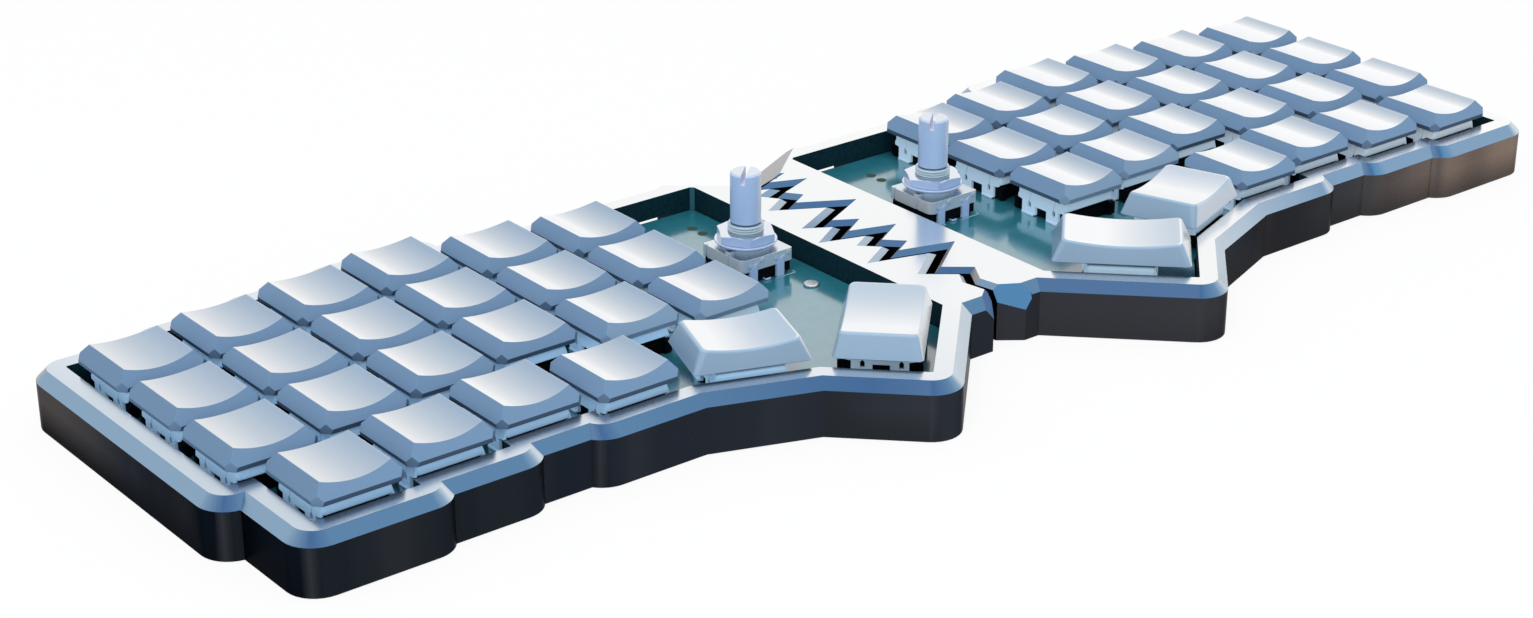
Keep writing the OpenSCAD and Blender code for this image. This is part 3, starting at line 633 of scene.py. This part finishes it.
for side in sides:
    addPiece(side + "CaseShell", caseMesh(side), side + "_half", [side + "_case"])
print("cases made")


# keycaps: sizes in millimetres, heights from the lower edge
capShared = {"band": 0.9, "undercut": 0.2, "dish": 1.0, "dishSteps": 16, "rows": 6, "wall": 0.9,
             "hollow": 2.0, "hollowCorner": 0.8, "crease": 32.0}
fingerCap = {"mesh": "fingerKey", "width": 17.4, "depth": 17.4, "topWidth": 13.2, "topDepth": 13.2,
             "height": 3.5, "corner": 1.6, "ease": 0.1, "easeSteps": 2, "easeAngle": 16.0, "easeReach": 0.2,
             "slack": 0.01}
thumbShared = {"wall": 0.55, "topWidthLean": 1.9, "topDepthLean": 1.05, "height": 4.45, "footRound": 1.0,
               "topRound": 1.3, "innerRound": 0.98, "ease": 0.62, "easeSteps": 5, "lowEase": 0.15,
               "arcSteps": 5, "edgeSteps": 12, "topRings": (0.85, 0.65, 0.45, 0.25, 0.06)}
thumbCaps = {"near_thumb_key": {"mesh": "nearThumbKey", "width": 22.0, "depth": 16.2, "turn": 20},
             "far_thumb_key": {"mesh": "farThumbKey", "width": 26.5, "depth": 16.2, "turn": -45}}
stemSettings = {"width": 10.2, "depth": 4.6, "collar": 0.5, "collarThickness": 0.4, "seat": 0.05,
                "ease": 0.15}


# height of the dished top above the lower edge, across the cap
def dishHeight(x, topHalf, height):
    radius = (topHalf ** 2 + capShared["dish"] ** 2) / (2 * capShared["dish"])
    return height - capShared["dish"] + radius - math.sqrt(radius ** 2 - x ** 2)


def fingerShape(cap):
    shape = bmesh.new()
    band, undercut = capShared["band"], capShared["undercut"]
    halfWidth, halfDepth, corner = cap["width"] / 2, cap["depth"] / 2, cap["corner"]
    leanWidth, leanDepth = halfWidth - cap["topWidth"] / 2, halfDepth - cap["topDepth"] / 2
    rise = cap["height"] - band
    topHalf = cap["topWidth"] / 2
    columns, rows = capShared["dishSteps"], capShared["rows"]
    grid = []
    for i in range(columns + 1):
        x = topHalf * (2 * i / columns - 1)
        height = dishHeight(x, topHalf, cap["height"])
        reach = halfDepth - leanDepth * (height - band) / rise
        grid.append([shape.verts.new((x, reach * (2 * j / rows - 1), height)) for j in range(rows + 1)])
    for i in range(columns):
        for j in range(rows):
            shape.faces.new((grid[i][j], grid[i + 1][j], grid[i + 1][j + 1], grid[i][j + 1]))
    climb = corner / (leanWidth + leanDepth)
    points = {}
    for sx in (-1, 1):
        for sy in (-1, 1):
            spot = points[sx, sy] = {name: shape.verts.new((sx * x, sy * y, z)) for name, x, y, z in (
                ("apex", halfWidth - leanWidth * climb, halfDepth - leanDepth * climb, band + rise * climb),
                ("girthX", halfWidth, halfDepth - corner, band),
                ("girthY", halfWidth - corner, halfDepth, band),
                ("footX", halfWidth - undercut, halfDepth - corner + undercut, 0),
                ("footY", halfWidth - corner + undercut, halfDepth - undercut, 0))}
            shape.faces.new((spot["apex"], spot["girthX"], spot["footX"], spot["footY"], spot["girthY"]))
    for sy, row in ((-1, 0), (1, rows)):
        left, right = points[-1, sy], points[1, sy]
        shape.faces.new([column[row] for column in grid]
                        + [right["apex"], right["girthY"], left["girthY"], left["apex"]])
        shape.faces.new((left["girthY"], right["girthY"], right["footY"], left["footY"]))
    for sx, column in ((-1, grid[0]), (1, grid[-1])):
        front, back = points[sx, -1], points[sx, 1]
        shape.faces.new(column + [back["apex"], back["girthX"], front["girthX"], front["apex"]])
        shape.faces.new((front["girthX"], back["girthX"], back["footX"], front["footX"]))
    # hollow underside
    wall, hollow = capShared["wall"], capShared["hollow"]
    headLean = (hollow - band) / rise
    foot = (halfWidth - undercut - wall, halfDepth - undercut - wall)
    head = (halfWidth - leanWidth * headLean - wall, halfDepth - leanDepth * headLean - wall)
    around = [((-1, -1), "X"), ((-1, -1), "Y"), ((1, -1), "Y"), ((1, -1), "X"), ((1, 1), "X"), ((1, 1), "Y"),
              ((-1, 1), "Y"), ((-1, 1), "X")]
    loops = [[points[spot]["foot" + axis] for spot, axis in around]]
    for half, height in ((foot, 0), (head, hollow)):
        cut = capShared["hollowCorner"]
        loops.append([shape.verts.new((sx * (half[0] - (cut if axis == "Y" else 0)),
                                       sy * (half[1] - (cut if axis == "X" else 0)), height))
                      for (sx, sy), axis in around])
    for low, high in zip(loops, loops[1:]):
        for i in range(len(low)):
            j = (i + 1) % len(low)
            shape.faces.new((low[i], low[j], high[j], high[i]))
    shape.faces.new(loops[-1])
    bmesh.ops.recalc_face_normals(shape, faces=shape.faces)

    # edges of the dish, and those at the sides that rise from the band
    def eased(edge):
        low, high = sorted(end.co.z for end in edge.verts)
        reach = max(abs(end.co.x) for end in edge.verts)
        outside = reach > halfWidth - corner - cap["easeReach"]
        fromBand = low > band - cap["slack"] and high > band + cap["slack"]
        return low > hollow + cap["slack"] or (outside and fromBand)
    return softenEdges(shape, cap["ease"], cap["easeSteps"], cap["easeAngle"], eased)


# rectangle with rounded corners; its straight edges are divided too, so that they can follow the dish
def roundedOutline(halfX, halfY, radius):
    arcs = []
    arcSteps, steps = thumbShared["arcSteps"], thumbShared["edgeSteps"]
    for quarter, (sx, sy) in enumerate(((1, 1), (-1, 1), (-1, -1), (1, -1))):
        angles = [math.pi / 2 * (quarter + i / arcSteps) for i in range(arcSteps + 1)]
        arcs.append([Vector((sx * (halfX - radius) + radius * math.cos(a),
                             sy * (halfY - radius) + radius * math.sin(a))) for a in angles])
    points = []
    for arc, following in zip(arcs, arcs[1:] + arcs[:1]):
        points += arc + [arc[-1].lerp(following[0], i / steps) for i in range(1, steps)]
    return points


def thumbShape(cap):
    s = thumbShared
    halfX, halfY, height = cap["width"] / 2, cap["depth"] / 2, s["height"]
    topX, topY = halfX - s["topWidthLean"], halfY - s["topDepthLean"]

    def crowned(outline):
        return [Vector((p.x, p.y, dishHeight(p.x, topX, height))) for p in outline]
    foot = roundedOutline(halfX, halfY, s["footRound"])
    edge = crowned(roundedOutline(topX, topY, s["topRound"]))
    inner = roundedOutline(topX - s["ease"], topY - s["ease"], s["innerRound"])
    inside = crowned(inner)
    lowered = [e + (Vector((f.x, f.y, 0)) - e).normalized() * s["ease"] for e, f in zip(edge, foot)]
    wall, hollow, ease = s["wall"], capShared["hollow"], s["lowEase"]
    rise = hollow / height
    head = (halfX - wall - s["topWidthLean"] * rise, halfY - wall - s["topDepthLean"] * rise)
    levels = ((*head, hollow), (halfX - wall, halfY - wall, 0.0), (halfX - ease, halfY - ease, 0.0),
              (halfX, halfY, ease))
    rings = [[(p.x, p.y, level) for p in roundedOutline(ringX, ringY, s["footRound"])]
             for ringX, ringY, level in levels]
    for i in range(s["easeSteps"] + 1):
        t = i / s["easeSteps"]
        rings.append([a * (1 - t) ** 2 + b * (2 * t * (1 - t)) + c * t ** 2
                      for a, b, c in zip(lowered, edge, inside)])
    rings += [crowned([p * share for p in inner]) for share in s["topRings"]]
    return loftShape(rings)


def keyMesh(name, cap, capFinish, stemLow):
    shape = bmesh.new()
    addPart(shape, thumbShape(cap) if "turn" in cap else fingerShape(cap), 0)
    s = stemSettings
    shelf, top = stemLow + s["collarThickness"], capShared["hollow"] - s["seat"]
    blocks = ((0.0, (shelf, top), s["ease"]), (s["collar"], (stemLow, shelf), s["ease"] / 2))
    for collar, spanZ, ease in blocks:
        wide, deep = s["width"] / 2 + collar, s["depth"] / 2 + collar
        addPart(shape, blockShape((-wide, wide), (-deep, deep), spanZ, ease), 1)
    return toMesh(name, shape, [capFinish, paleNylon], capShared["crease"])


keyNames = [f"key_r{row}c{column}" for row in (1, 2, 3) for column in range(1, 7)]
keyNames += [f"key_r4c{column}" for column in range(1, 5)] + ["near_thumb_key", "far_thumb_key"]
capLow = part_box("left_key_r1c1")[1].z - fingerCap["height"] * millimetre
keySpots = {}
capMeshes = {}
for side in sides:
    for keyName in keyNames:
        node = side + "_" + keyName
        low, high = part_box(node)
        cap = thumbCaps.get(keyName, fingerCap)
        thumb = keyName in thumbCaps
        turn = cap.get("turn", 0) * (1 if side == "right" else -1)
        x, y = (low.x + high.x) / 2, (low.y + high.y) / 2
        keySpots[node] = (x, y, turn)
        meshName = cap["mesh"]
        if meshName not in capMeshes:
            capFinish = absThumbCap if thumb else pbtCap
            capMeshes[meshName] = keyMesh(meshName, cap, capFinish, (low.z - capLow) / millimetre)
        place = Matrix.Translation((x, y, capLow)) @ Matrix.Rotation(math.radians(turn), 4, "Z")
        pieceName = side + "".join(word.title() for word in keyName.split("_"))
        piece = addPiece(pieceName, capMeshes[meshName], node + "_body",
                         [node], place)
        # place along the keyboard moves the painted reflection on the cap; green and blue mark painted light
        # and shade
        level = (x - cadBox[0][0]) / (cadBox[1][0] - cadBox[0][0])
        piece.color = (level, float(keyName in capTones["openKeys"]), float(node in capTones["endKeys"]), 1.0)
print("keys made,", len(keySpots))


# switches: black tub, pale clip wings on two sides, rounded pale bars on the other two
switchSettings = {
    "tub": (6.3, 6.85), "cavity": (5.8, 3.0), "tubHeight": 2.25, "tubEase": 0.2, "core": (6.2, 6.2),
    "coreHeight": 4.0, "wing": (6.3, 6.95), "wingLean": 0.45, "leanAbove": 4.3, "wingEase": 0.05,
    "crease": 30.0, "barDepth": (6.15, 6.95), "bar": (3.0, 4.85), "barHalf": 6.45, "barEase": 0.55,
    "slack": 0.01, "roof": (6.5, 6.4), "roofHole": (5.3, 2.5), "roofHeight": (4.0, 4.4),
    "footSpans": ((1.7, 5.0), (-5.0, -2.1)), "foot": (6.8805, 7.3), "footHeight": (0.0, 0.45),
    "hook": (6.4, 7.7), "hookHeight": (0.2, 2.7), "hookSpan": (5.2, 6.7), "ease": 0.1,
}
# clip wing seen from its side: (along, height), with two keyhole slits, latch window and notched front end
keyhole = ((0.06, 4.8), (0.06, 2.85), (0.42, 2.5), (0.42, 1.45), (-0.42, 1.45), (-0.42, 2.5), (-0.06, 2.85),
           (-0.06, 4.8))
wingOutline = [
    (-5.2, 0.2), (-1.8, 0.2), (-1.8, 2.05), (1.35, 2.05), (1.35, 0.2), (5.2, 0.2), (5.2, 2.7), (6.4, 2.9),
    (6.4, 3.7), (5.9, 4.8), *((middle + x, height) for middle in (3.15, -3.85) for x, height in keyhole),
    (-6.2, 4.8), (-6.6, 4.3), (-6.6, 2.9), (-5.2, 2.7),
]


def housingShapes():
    s = switchSettings
    dark, pale = bmesh.new(), bmesh.new()
    tub = loftShape(frameRings(s["tub"], s["cavity"], 0.0, s["tubHeight"]), True)
    addPart(dark, softenEdges(tub, s["tubEase"], 3))
    addPart(dark, loftShape(frameRings(s["core"], s["cavity"], s["tubHeight"], s["coreHeight"]), True))
    upright = Matrix(((0, 0, 1, 0), (1, 0, 0, 0), (0, 1, 0, 0), (0, 0, 0, 1)))
    for sx in (-1, 1):
        wing = prismShape(wingOutline, *s["wing"])
        wing.transform(upright)
        for corner in wing.verts:
            if corner.co.x > s["wing"][1] - s["slack"] and corner.co.z > s["leanAbove"]:
                corner.co.x -= s["wingLean"]
            corner.co.x *= sx
        bmesh.ops.recalc_face_normals(wing, faces=wing.faces)
        addPart(pale, softenEdges(wing, s["wingEase"], 1, s["crease"]))
        for footSpan in s["footSpans"]:
            addPart(pale, blockShape(spanOn(sx, *s["foot"]), footSpan, s["footHeight"], s["ease"]))
        for sy in (-1, 1):
            addPart(dark, blockShape(spanOn(sx, *s["hookSpan"]), spanOn(sy, *s["hook"]), s["hookHeight"],
                                     s["ease"]))

    def outer(edge):
        return max(abs(corner.co.y) for corner in edge.verts) > s["barDepth"][1] - s["slack"]
    for sy in (-1, 1):
        addPart(pale, blockShape((-s["barHalf"], s["barHalf"]), spanOn(sy, *s["barDepth"]), s["bar"],
                                 s["barEase"], 4, sharperThan=s["crease"], chosen=outer))
    roof = loftShape(frameRings(s["roof"], s["roofHole"], *s["roofHeight"]), True)
    addPart(pale, softenEdges(roof, s["ease"]))
    return dark, pale


darkHousing, paleHousing = (toMesh(name, shape, [material]) for name, shape, material in zip(
    ("lowerHousing", "upperHousing"), housingShapes(), (blackNylon, milkyPolycarbonate)))
for side in sides:
    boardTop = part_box(side + "_encoder")[0].z
    for meshUsed, pieceName, replaced in ((darkHousing, "LowerHousings", [side + "_switches"]),
                                          (paleHousing, "UpperHousings", [])):
        gathered = bmesh.new()
        for node, (x, y, turn) in keySpots.items():
            if node.startswith(side):
                part = bmesh.new()
                part.from_mesh(meshUsed)
                place = Matrix.Translation((x, y, boardTop)) @ Matrix.Rotation(math.radians(turn), 4, "Z")
                addPart(gathered, part, 0, place)
        gathered.transform(Matrix.Scale(1 / millimetre, 4))
        addPiece(side + pieceName, toMesh(side + pieceName, gathered, list(meshUsed.materials)),
                 side + "_half", replaced)
print("switches made")


# encoder: moulded base, stamped bracket with staked legs, collar, washer, nut and threaded bushing; the fork
# of a leg is (share of half its width, height) up its right side
encoderSettings = {
    "base": 5.85, "baseHeight": (0.5, 2.62), "baseEase": 0.15, "bodyShift": (0.25, -0.2), "steps": 72,
    "bracket": 6.2, "bracketHeight": (2.62, 5.2), "bracketCorner": 1.4, "cornerSteps": 5, "bracketTrim": 0.3,
    "bracketEase": 0.1, "bracketCrease": 20.0, "groove": (-2.1, -1.7, 0.3), "earNotch": (4.7, 5.2, 0.4),
    "tab": ((-6.0, -4.2), (-2.0, -0.7), (5.1, 5.84)),
    "collar": 4.7, "collarSink": 0.1, "collarRise": 0.02, "edge": 0.12, "washer": 6.1,
    "washerHeight": (6.42, 6.86), "nutFlats": 10.4, "nutHeight": (6.86, 8.65), "nutDrop": 0.3,
    "nutCrown": 0.08, "nutEase": 0.05, "bore": 2.62, "bushing": 3.5, "bushingTop": 10.2, "bushingFit": 0.05,
    "threadDepth": 0.22, "threadPitch": 0.5, "threadStart": 0.6, "threadCrest": (0.35, 0.6),
    "legPlaces": (-3.4, 3.1), "legWidth": 2.1, "legReach": 6.45, "legSink": 0.1, "legEase": 0.08,
    "fork": ((0.85, 0.05), (0.85, 2.9), (0.6, 3.3), (1.25, 3.85), (1.2, 4.35), (0.8, 4.4)), "forkNotch": 3.75,
    "boss": ((1.0, -0.3), (1.0, 0.1), (0.7, 0.22)), "bossRadius": 0.55, "bossOffset": 2.1, "bossDrop": 0.12,
    "bossSteps": 20, "pinWidth": 1.3, "pinReach": (-0.6, 0.9), "pinHeight": (0.0, 0.5), "pinEase": 0.2,
    "pinPlaces": (-2.5, 0.0, 2.5), "frontPin": 0.3, "crease": 32.0,
}


def nutShape(s):
    flat = s["nutFlats"] / 2
    low, high = s["nutHeight"]
    rings = {"low": [], "lowEdge": [], "highEdge": [], "high": []}
    for i in range(s["steps"]):
        angle = 2 * math.pi * i / s["steps"]
        reach = flat / math.cos((angle % (math.pi / 3)) - math.pi / 6)
        drop = (reach - flat) * s["nutDrop"] + s["nutCrown"]
        for name, radius, height in (
                ("low", reach - s["nutEase"], low), ("lowEdge", reach, low + s["nutEase"]),
                ("highEdge", reach, high - drop), ("high", flat - s["nutEase"], high)):
            rings[name].append((radius * math.cos(angle), radius * math.sin(angle), height))
    hole = [circle(s["bushing"], high, s["steps"]), circle(s["bushing"], low, s["steps"])]
    return loftShape(list(rings.values()) + hole, True)


def encoderMesh():
    s = encoderSettings
    plastic, bracket, plated, thread = range(4)
    shape = bmesh.new()
    seat = Matrix.Translation((*s["bodyShift"], 0.0))
    base, half, cut, trim = s["base"], s["bracket"], s["bracketCorner"], s["bracketTrim"]
    addPart(shape, blockShape((-base, base), (-base, base), s["baseHeight"], s["baseEase"]), plastic, seat)
    rounded = [(-half + cut * (1 - math.cos(a)), -half + cut * (1 - math.sin(a)))
               for a in (math.pi / 2 * i / s["cornerSteps"] for i in range(s["cornerSteps"] + 1))]
    outline = rounded + [(half - trim, -half), (half, -half + trim), (half, half - trim),
                         (half - trim, half), (-half + trim, half), (-half, half - trim)]
    for low, high, depth in (s["earNotch"], s["groove"]):
        outline += [(-half, high), (-half + depth, high), (-half + depth, low), (-half, low)]
    sheet = softenEdges(prismShape(outline, *s["bracketHeight"]), s["bracketEase"], 3, s["bracketCrease"])
    addPart(shape, sheet, bracket, seat)
    addPart(shape, blockShape(*s["tab"], s["bracketEase"]), bracket, seat)
    collar, washer, bushing, edge = s["collar"], s["washer"], s["bushing"], s["edge"]
    top, (low, high) = s["bracketHeight"][1], s["washerHeight"]
    foot, brim = top - s["collarSink"], low + s["collarRise"]
    collarProfile = [(s["bore"], foot), (collar, foot), (collar, low - edge), (collar - edge, brim),
                     (s["bore"], brim)]
    addPart(shape, latheShape(collarProfile, s["steps"], True), thread)
    washerProfile = [(bushing, low), (washer - edge, low), (washer, low + edge), (washer, high - edge),
                     (washer - edge, high), (bushing, high)]
    addPart(shape, latheShape(washerProfile, s["steps"], True), plated)
    addPart(shape, nutShape(s), plated)
    profile = [(s["bore"], top), (bushing - s["bushingFit"], top)]
    root, pitch, height = bushing - s["threadDepth"], s["threadPitch"], s["nutHeight"][1] - s["threadStart"]
    while height + pitch < s["bushingTop"]:
        profile += [(root, height)] + [(bushing, height + pitch * share) for share in s["threadCrest"]]
        height += pitch
    profile += [(root, height), (root, s["bushingTop"]), (s["bore"], s["bushingTop"])]
    addPart(shape, latheShape(profile, s["steps"], True), thread)
    # legs folded down over the base, forked at the top where they are staked
    rightSide = [(s["legWidth"] / 2 * share, height) for share, height in s["fork"]]
    leftSide = [(-x, height) for x, height in rightSide]
    fork = leftSide[:1] + rightSide + [(0.0, s["forkNotch"])] + leftSide[:0:-1]
    bossRadius, bossHeight = s["bossRadius"], top - s["bossRadius"] - s["bossDrop"]
    pinNear, pinFar = (base + reach for reach in s["pinReach"])
    pinHalf = s["pinWidth"] / 2
    for sign in (-1, 1):
        stand = Matrix(((1, 0, 0, 0), (0, 0, sign, 0), (0, 1, 0, 0), (0, 0, 0, 1)))
        for x in s["legPlaces"]:
            leg = softenEdges(prismShape(fork, base - s["legSink"], s["legReach"]), s["legEase"])
            addPart(shape, leg, plated, seat @ Matrix.Translation((x, 0, 0)) @ stand)
            boss = latheShape([(bossRadius * share, half + out) for share, out in s["boss"]], s["bossSteps"])
            addPart(shape, boss, bracket,
                    seat @ Matrix.Translation((x + s["bossOffset"], 0, bossHeight)) @ stand)
        reach = spanOn(sign, pinNear, pinFar)
        pins = [((s["frontPin"] - pinHalf, s["frontPin"] + pinHalf), reach)]
        pins += [(reach, (y - pinHalf, y + pinHalf)) for y in s["pinPlaces"]]
        for spanX, spanY in pins:
            addPart(shape, blockShape(spanX, spanY, s["pinHeight"], s["pinEase"], 3), plated)
    finishes = [blackNylon, tinnedSteel, passivatedZinc, threadedBushing]
    return toMesh("rotaryEncoder", shape, finishes, s["crease"])


encoderShared = encoderMesh()
shaftSettings = {"edge": 0.06, "slotReach": 2.2, "slotDepth": 2.4, "tipDepth": 0.12, "crease": 30.0}
for side in sides:
    low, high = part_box(side + "_encoder")
    middle = Vector(((low.x + high.x) / 2, (low.y + high.y) / 2, low.z))
    addPiece(side + "Encoder", encoderShared, side + "_half", [side + "_encoder"],
             Matrix.Translation(middle))
    shaft = easedNode(side + "_encoder_shaft", shaftSettings["edge"], 2, shaftSettings["crease"])
    shaft.normal_update()
    tip = max(corner.co.z for corner in shaft.verts)
    for face in shaft.faces:
        spot = face.calc_center_median()
        inner = (spot.xy - middle.xy / millimetre).length < shaftSettings["slotReach"]
        cut = tip - shaftSettings["slotDepth"] < spot.z < tip - shaftSettings["tipDepth"]
        face.material_index = 1 if inner and cut else 0
    shaftMesh = toMesh(side + "EncoderShaft", shaft, [turnedShaft, sawnSlot], shaftSettings["crease"])
    addPiece(side + "EncoderShaft", shaftMesh, side + "_dial", [side + "_encoder_shaft"])
print("encoders made")


# board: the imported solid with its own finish, plus plated pads, marks printed round the encoder and screw
# heads; a pad's profile is (share of its radius, height)
boardSettings = {
    "padRadius": 1.05, "padProfile": ((1.0, -0.05), (1.0, 0.03), (0.9, 0.06), (0.5, 0.072)), "padSteps": 32,
    "padPlaces": {"left": -19.4, "right": 27.6}, "padRows": (36.05, 32.69),
    "markReach": 6.95, "markRuns": ((-5.2, -2.2), (2.0, 6.95)), "markReturn": 1.1, "markWidth": 0.22,
    "markHeight": 0.03, "markEase": 0.01, "headEase": 0.3, "headCrease": 40.0,
}
for side in sides:
    s = boardSettings
    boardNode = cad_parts[side + "_board"]
    boardNode.data.materials.clear()
    boardNode.data.materials.append(solderMask)
    low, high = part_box(side + "_encoder")
    boardTop = low.z / millimetre
    pads = bmesh.new()
    for y in s["padRows"]:
        pad = latheShape([(s["padRadius"] * share, height) for share, height in s["padProfile"]],
                         s["padSteps"])
        addPart(pads, pad, 0, Matrix.Translation((s["padPlaces"][side], y, boardTop)))
    marks = bmesh.new()
    centre = Vector(((low.x + high.x) / 2, (low.y + high.y) / 2, 0)) / millimetre
    reach, width = s["markReach"], s["markWidth"]
    for sy in (-1, 1):
        runs = [(run, spanOn(sy, reach - width, reach)) for run in s["markRuns"]]
        runs.append(((reach - width, reach), spanOn(sy, reach - s["markReturn"], reach)))
        for spanX, spanY in runs:
            addPart(marks, blockShape([centre.x + x for x in spanX], [centre.y + y for y in spanY],
                                      (boardTop - s["markHeight"], boardTop + s["markHeight"]),
                                      s["markEase"], 1))
    for pieceName, shape, finish in (("PlatedPads", pads, tinnedPad), ("PrintedMarks", marks, whiteInk)):
        addPiece(side + pieceName, toMesh(side + pieceName, shape, [finish]), side + "_half")
    screws = easedNode(side + "_screws", s["headEase"], 4, s["headCrease"])
    addPiece(side + "BoardScrews", toMesh(side + "BoardScrews", screws, [nickelScrew]), side + "_half",
             [side + "_screws"])
print("boards made")


# white room: camera and mirror rays see white; a dimmer dome and two soft lamps on the camera's side light
# the part; each lamp has its place and size in metres and its power in watts
stageSettings = {
    "white": "#FFFFFF", "domeTone": "#F4F7FB", "domeLevel": 0.65,
    "floorSize": 6.0, "floorDrop": 0.0002, "floorRoughness": 0.8, "whiteShare": 0.88,
    "lamps": {"fillLamp": ((-1.8, -1.8, 1.2), 1.6, 18.0), "highLamp": ((-0.92, -0.92, 2.48), 1.8, 29.0)},
}
world = bpy.data.worlds.new("whiteRoom")
scene.world = world
world.use_nodes = True
world.node_tree.nodes.clear()
addToSky = partial(addNode, world.node_tree)


# share of rays that should see plain white: camera, mirror and see-through ones
def addSeen(add):
    rays = add("LightPath")
    seen = add("Math", {"operation": "MAXIMUM"},
               {0: rays.outputs["Is Camera Ray"], 1: rays.outputs["Is Glossy Ray"]})
    return add("Math", {"operation": "MAXIMUM"}, {0: seen, 1: rays.outputs["Is Transmission Ray"]})


dome = addToSky("Background", {"Color": stageSettings["domeTone"], "Strength": stageSettings["domeLevel"]})
white = addToSky("Background", {"Color": stageSettings["white"], "Strength": 1.0})
mixed = addToSky("MixShader", {}, {0: addSeen(addToSky), 1: dome, 2: white})
addToSky("OutputWorld", {}, {"Surface": mixed})

floorShape = bmesh.new()
bmesh.ops.create_grid(floorShape, x_segments=1, y_segments=1, size=stageSettings["floorSize"] / 2)
floorMesh = bpy.data.meshes.new("paleFloor")
floorShape.to_mesh(floorMesh)
floorShape.free()
floor = bpy.data.objects.new("paleFloor", floorMesh)
floor.location.z = -stageSettings["floorDrop"]
scene.collection.objects.link(floor)
floorPaint, addToFloor, floorShader = startMaterial("paleFloorPaint", {
    "Base Color": linear(stageSettings["white"]), "Roughness": stageSettings["floorRoughness"],
    "Specular IOR Level": 0.0})
floorShare = addToFloor("Math", {"operation": "MULTIPLY", 1: stageSettings["whiteShare"]},
                        {0: addSeen(addToFloor)})
floorWhite = addToFloor("Emission", {"Color": stageSettings["white"], "Strength": 1.0})
floorMix = addToFloor("MixShader", {}, {0: floorShare, 1: floorShader, 2: floorWhite})
addLinks(floorPaint.node_tree.nodes["Material Output"], {"Surface": floorMix})
floorMesh.materials.append(floorPaint)

for lampName, (lampPlace, lampSize, lampEnergy) in stageSettings["lamps"].items():
    lampData = bpy.data.lights.new(lampName, "AREA")
    lampData.shape = "SQUARE"
    lampData.size = lampSize
    lampData.energy = lampEnergy
    lamp = addAimed(lampName, lampData, lampPlace, -Vector(lampPlace))
    lamp.visible_glossy = False
print("stage lit")
